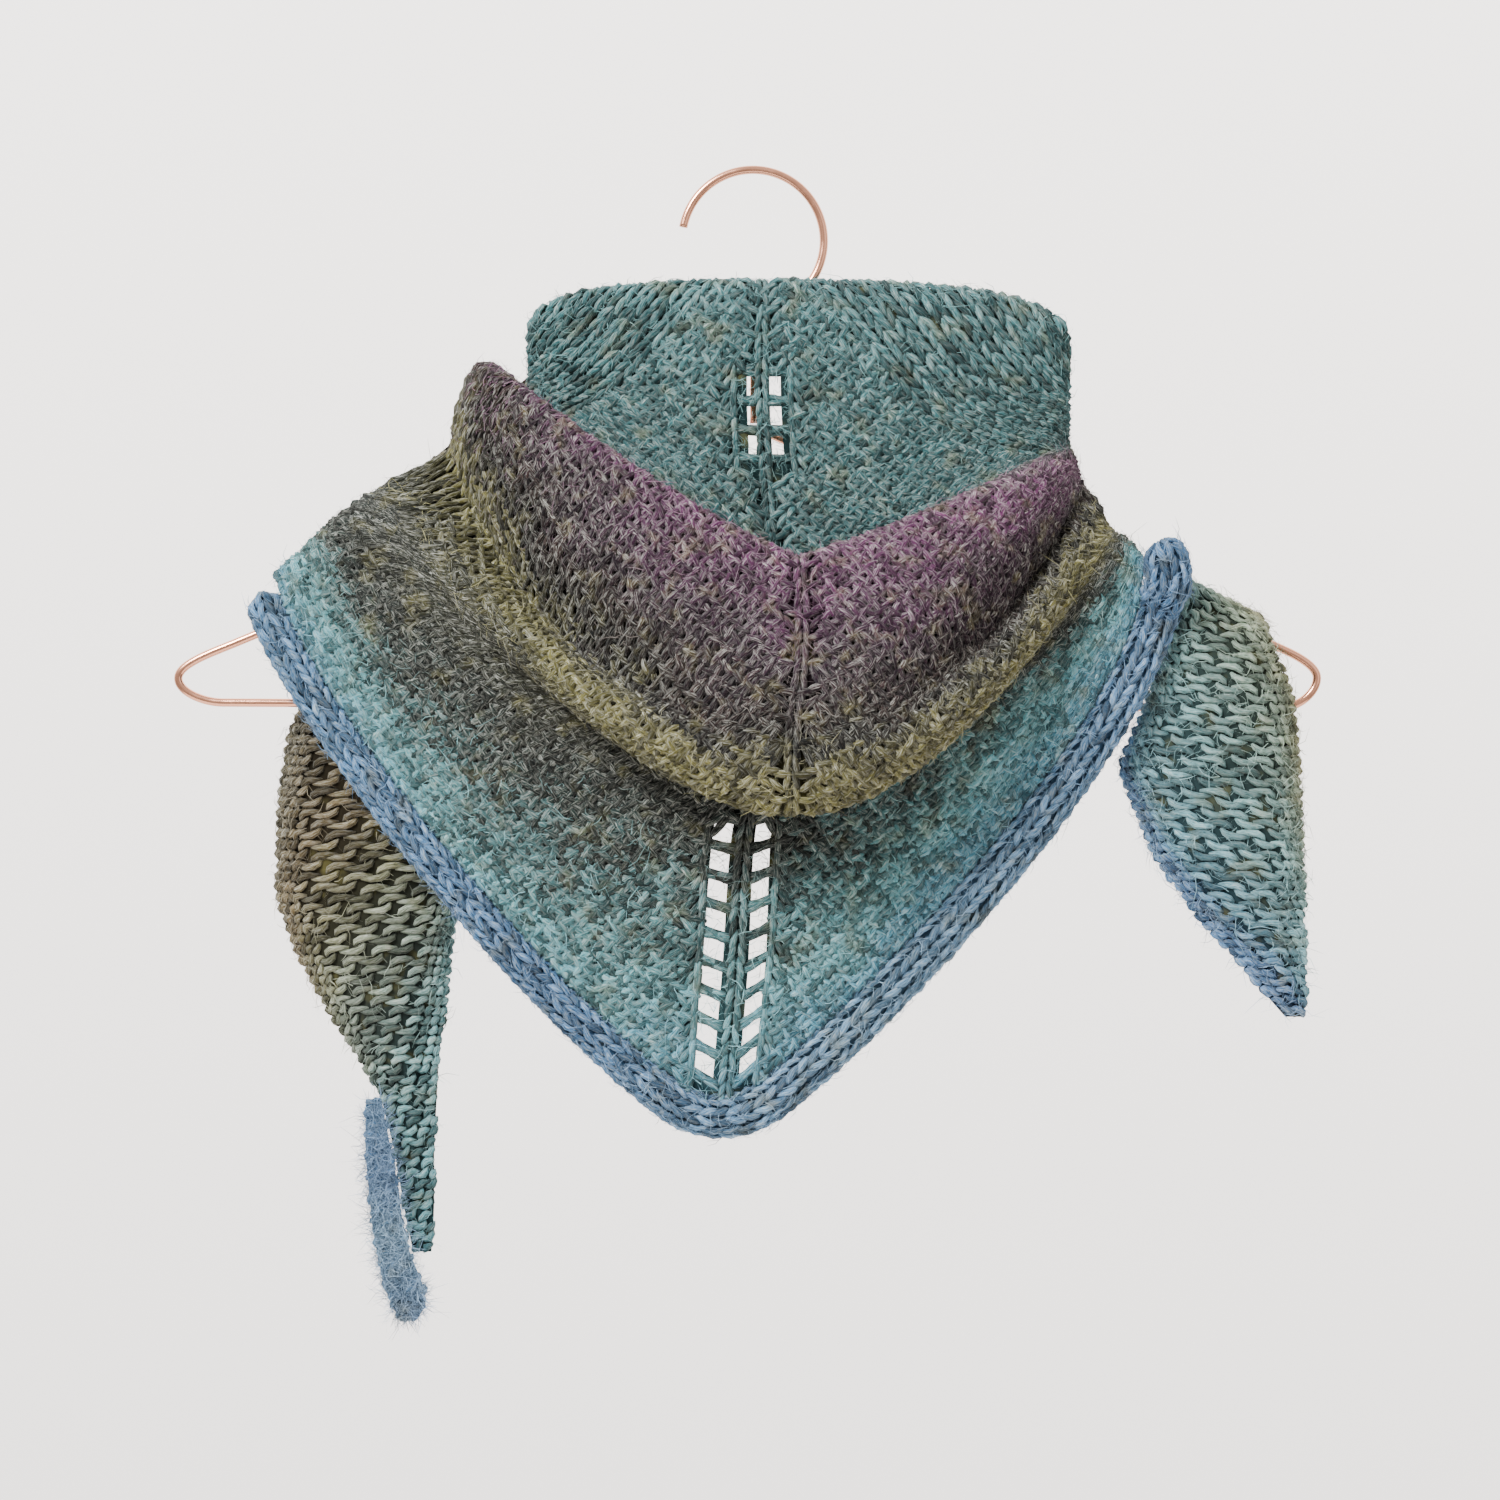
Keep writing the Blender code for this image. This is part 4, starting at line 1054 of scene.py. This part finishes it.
class SHAWL_OT_front(bpy.types.Operator):
    """Knit the front sheet from the collar down to the seam"""
    bl_idname = "shawl.front"
    bl_label = "Knit the front"

    def execute(self, context):
        front = front_sheet()
        count = context.scene.shawl.fibres
        width, height = gauge(context)
        shell = front_shell(front, wool("front_felt", context))
        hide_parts("collar", "neck_fold", "olive_fold", "front_triangle")
        stitches = knit_front(front, wool("front_wool", context), width, height)
        back = purl_back(front, wool("front_wool", context), width, height)
        points, normals, rows = fuzz_points(front, count, np.random.default_rng(3),
                                            front.depth[-1] * 0.6, front.depth[-1])
        loose = make_fuzz("front_fibres", points, normals, rows,
                          wool("front_loose_fibres", context), 11)
        points, normals, rows = fuzz_points(front, count // 2, np.random.default_rng(4), 330, 330)
        nap = make_fuzz("front_nap", points, normals, rows, wool("front_loose_fibres", context), 12,
                        lift=2.4, length=3.0)
        return {"FINISHED"}


def left_colour(panel, x, y):
    """The left end goes from brown at its outer top to aqua at its inner edge and foot."""
    return np.clip(0.25 + x / 110 + (y - 120) / 260, 0, 1)


def right_colour(panel, x, y):
    """The right end goes from olive at its top and outer edge to blue at its foot."""
    return np.clip(0.5 + x / 70 - (y - 70) / 260, 0, 1)


def tip_colour(panel, x, y):
    """The blue flap's colour changes evenly down it."""
    return y / panel.depth[-1]


# The stretches that hang: the direction of their wales in radians and their flat size in metres
End = namedtuple("End", "panel name nodes wool slot colour angle flat")
ENDS = [
    End("left", "wing_left", ("wing_left", "tail_left"), "left_end", "green_wool",
        left_colour, 0.95, (0.075, 0.31)),
    End("left_tip", "tail_left_tip", ("tail_left_tip",), "blue", "blue_wool",
        tip_colour, 1.2, (0.0145, 0.083)),
    End("right_wing", "wing_right", ("wing_right",), "right_end", "olive_wool",
        right_colour, 2.2, (0.042, 0.095)),
    End("right", "tail_right", ("tail_right_over", "tail_right"), "right_end", "aqua_wool",
        right_colour, 2.2, (0.05, 0.2)),
]


class SHAWL_OT_ends(bpy.types.Operator):
    """Knit the two ends that hang behind and over the hanger's arms"""
    bl_idname = "shawl.ends"
    bl_label = "Knit the ends"

    def execute(self, context):
        width, height = gauge(context)
        panels = build_panels()
        for number, end in enumerate(ENDS):
            panel = panels[end.panel]
            shell = shell_grid(panel, np.linspace(0, 1, 60), np.linspace(0, 1, 22), (), 0.6, -0.8,
                               f"{end.name}_shell", wool(f"{end.wool}_felt", context), end.colour)
            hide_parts(*end.nodes)
            bumps = knit_panel(panel, f"{end.name}_stitches", wool(f"{end.wool}_wool", context),
                               width, height, end.angle, end.colour, seed=20 + number)
            random = np.random.default_rng(40 + number)
            x = random.uniform(-panel.width.max() / 2, panel.width.max() / 2, END_FIBRES)
            y = random.uniform(0, panel.depth[-1], END_FIBRES)
            inside = panel.locate(x, y)[2]
            x, y = x[inside], y[inside]
            points, normals = panel.flat(x, y)
            loose = make_fuzz(f"{end.name}_fibres", points, normals, end.colour(panel, x, y),
                              wool(f"{end.wool}_loose_fibres", context), 60 + number)
        return {"FINISHED"}


class SHAWL_OT_edging(bpy.types.Operator):
    """Make the rolled blue edging round the point"""
    bl_idname = "shawl.edging"
    bl_label = "Make the edging"

    def execute(self, context):
        band = Band()
        core = band_shell(band, wool("blue_felt", context))
        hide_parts("edging")
        stitches = knit_band(band, wool("blue_wool", context))
        random = np.random.default_rng(9)
        distance = random.uniform(2, band.length[-1] - 2, END_FIBRES)
        angle = random.uniform(-1, 1, END_FIBRES) * 12
        points, normals = band.flat(angle, distance)
        loose = make_fuzz("edging_fibres", points, normals, distance / band.length[-1],
                          wool("blue_loose_fibres", context), 31, lift=1.6)
        return {"FINISHED"}


class SHAWL_OT_hanger(bpy.types.Operator):
    """Bend the hanger's wire"""
    bl_idname = "shawl.hanger"
    bl_label = "Bend the hanger"

    def execute(self, context):
        copper = make_copper()
        names = ("hanger_hook_wire", "hanger_wire")
        nodes = (("hanger_hook",), ("hanger_arm_left", "hanger_arm_right", "hanger_bar"))
        for name, path, own in zip(names, hanger_paths(), nodes):
            normals = np.broadcast_to(np.array((0.0, -1.0, 0.0)), path.shape)
            points, faces = strands(path[None], normals[None], np.full(len(path), WIRE_RADIUS), 16, 1.0)
            wire = make_piece(name, points, faces, copper)
            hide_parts(*own)
        return {"FINISHED"}


class SHAWL_OT_stage(bpy.types.Operator):
    """Set up the pale floor, the soft light and the camera"""
    bl_idname = "shawl.stage"
    bl_label = "Set the stage"

    def execute(self, context):
        scene = context.scene
        # A pale painted floor: matt, so that it gives back no clear reflection
        material, tree = new_material("pale_studio_floor")
        surface = add_node(tree, "ShaderNodeBsdfPrincipled",
                           {"Base Color": linear("E9E6E4"), "Roughness": 0.9})
        add_node(tree, "ShaderNodeOutputMaterial", None, {"Surface": surface.outputs[0]})
        mesh = bpy.data.meshes.new("floor")
        half, level = 1.0, -0.95
        mesh.from_pydata([(-half, -half, level), (half, -half, level), (half, half, level),
                          (-half, half, level)], [], [(0, 1, 2, 3)])
        mesh.materials.append(material)
        floor = bpy.data.objects.new("floor", mesh)
        scene.collection.objects.link(floor)
        world = bpy.data.worlds.new("pale_room")
        world.use_nodes = True
        tree = world.node_tree
        place = add_node(tree, "ShaderNodeTexCoord")
        aim = add_node(tree, "ShaderNodeSeparateXYZ", None, {0: place.outputs["Generated"]})
        wall = add_node(tree, "ShaderNodeMapRange", {1: -0.2, 2: 0.75, 3: 0.9, 4: 4.2},
                        {0: aim.outputs["Y"]})
        above = add_node(tree, "ShaderNodeMapRange", {1: -0.3, 2: 0.8, 3: 0.75, 4: 1.5},
                         {0: aim.outputs["Z"]})
        glow = add_node(tree, "ShaderNodeMath", {"operation": "MULTIPLY"},
                        {0: wall.outputs[0], 1: above.outputs[0]})
        background = tree.nodes["Background"]
        background.inputs["Color"].default_value = linear("EAE5E1")
        tree.links.new(glow.outputs[0], background.inputs["Strength"])
        scene.world = world
        for name, energy, size, spot, turn in (
                ("key_light", 60.0, 0.5, (-0.8, -1.1, 0.85), (50, 0, -36)),
                ("fill_light", 4.0, 1.2, (1.1, -1.1, 0.1), (75, 0, 45))):
            light = bpy.data.lights.new(name, "AREA")
            light.energy = energy
            light.size = size
            lamp = bpy.data.objects.new(name, light)
            lamp.location = spot
            lamp.rotation_euler = [math.radians(angle) for angle in turn]
            scene.collection.objects.link(lamp)
        camera = bpy.data.cameras.new("camera")
        camera.sensor_width = 36.0
        camera.lens = camera.sensor_width * VIEW_DISTANCE / PHOTO_WIDTH
        holder = bpy.data.objects.new("camera", camera)
        holder.location = (VIEW_X * MM, -VIEW_DISTANCE * MM, VIEW_Z * MM)
        holder.rotation_euler = (math.radians(90), 0, 0)
        scene.collection.objects.link(holder)
        scene.camera = holder
        return {"FINISHED"}


class SHAWL_PT_panel(bpy.types.Panel):
    """Settings and steps of the shawl"""
    bl_idname = "SHAWL_PT_panel"
    bl_label = "Triangle shawl"
    bl_space_type = "VIEW_3D"
    bl_region_type = "UI"
    bl_category = "Shawl"

    def draw(self, context):
        layout = self.layout
        settings = context.scene.shawl
        for name in ("stitch_width", "stitch_height", "fibres", "roughness"):
            layout.prop(settings, name)
        for step in STEPS:
            layout.operator(step.bl_idname)


STEPS = (SHAWL_OT_hanger, SHAWL_OT_front, SHAWL_OT_ends, SHAWL_OT_edging, SHAWL_OT_stage)
CLASSES = (ShawlSettings,) + STEPS + (SHAWL_PT_panel,)


def register():
    """Adds the settings, the steps and the panel."""
    for kind in CLASSES:
        bpy.utils.register_class(kind)
    bpy.types.Scene.shawl = bpy.props.PointerProperty(type=ShawlSettings)


def unregister():
    """Takes them out again."""
    del bpy.types.Scene.shawl
    for kind in reversed(CLASSES):
        bpy.utils.unregister_class(kind)


def main():
    """Makes every piece and the stage."""
    register()
    bpy.ops.shawl.hanger()
    bpy.ops.shawl.front()
    bpy.ops.shawl.ends()
    bpy.ops.shawl.edging()
    bpy.ops.shawl.stage()


if __name__ == "__main__":
    main()
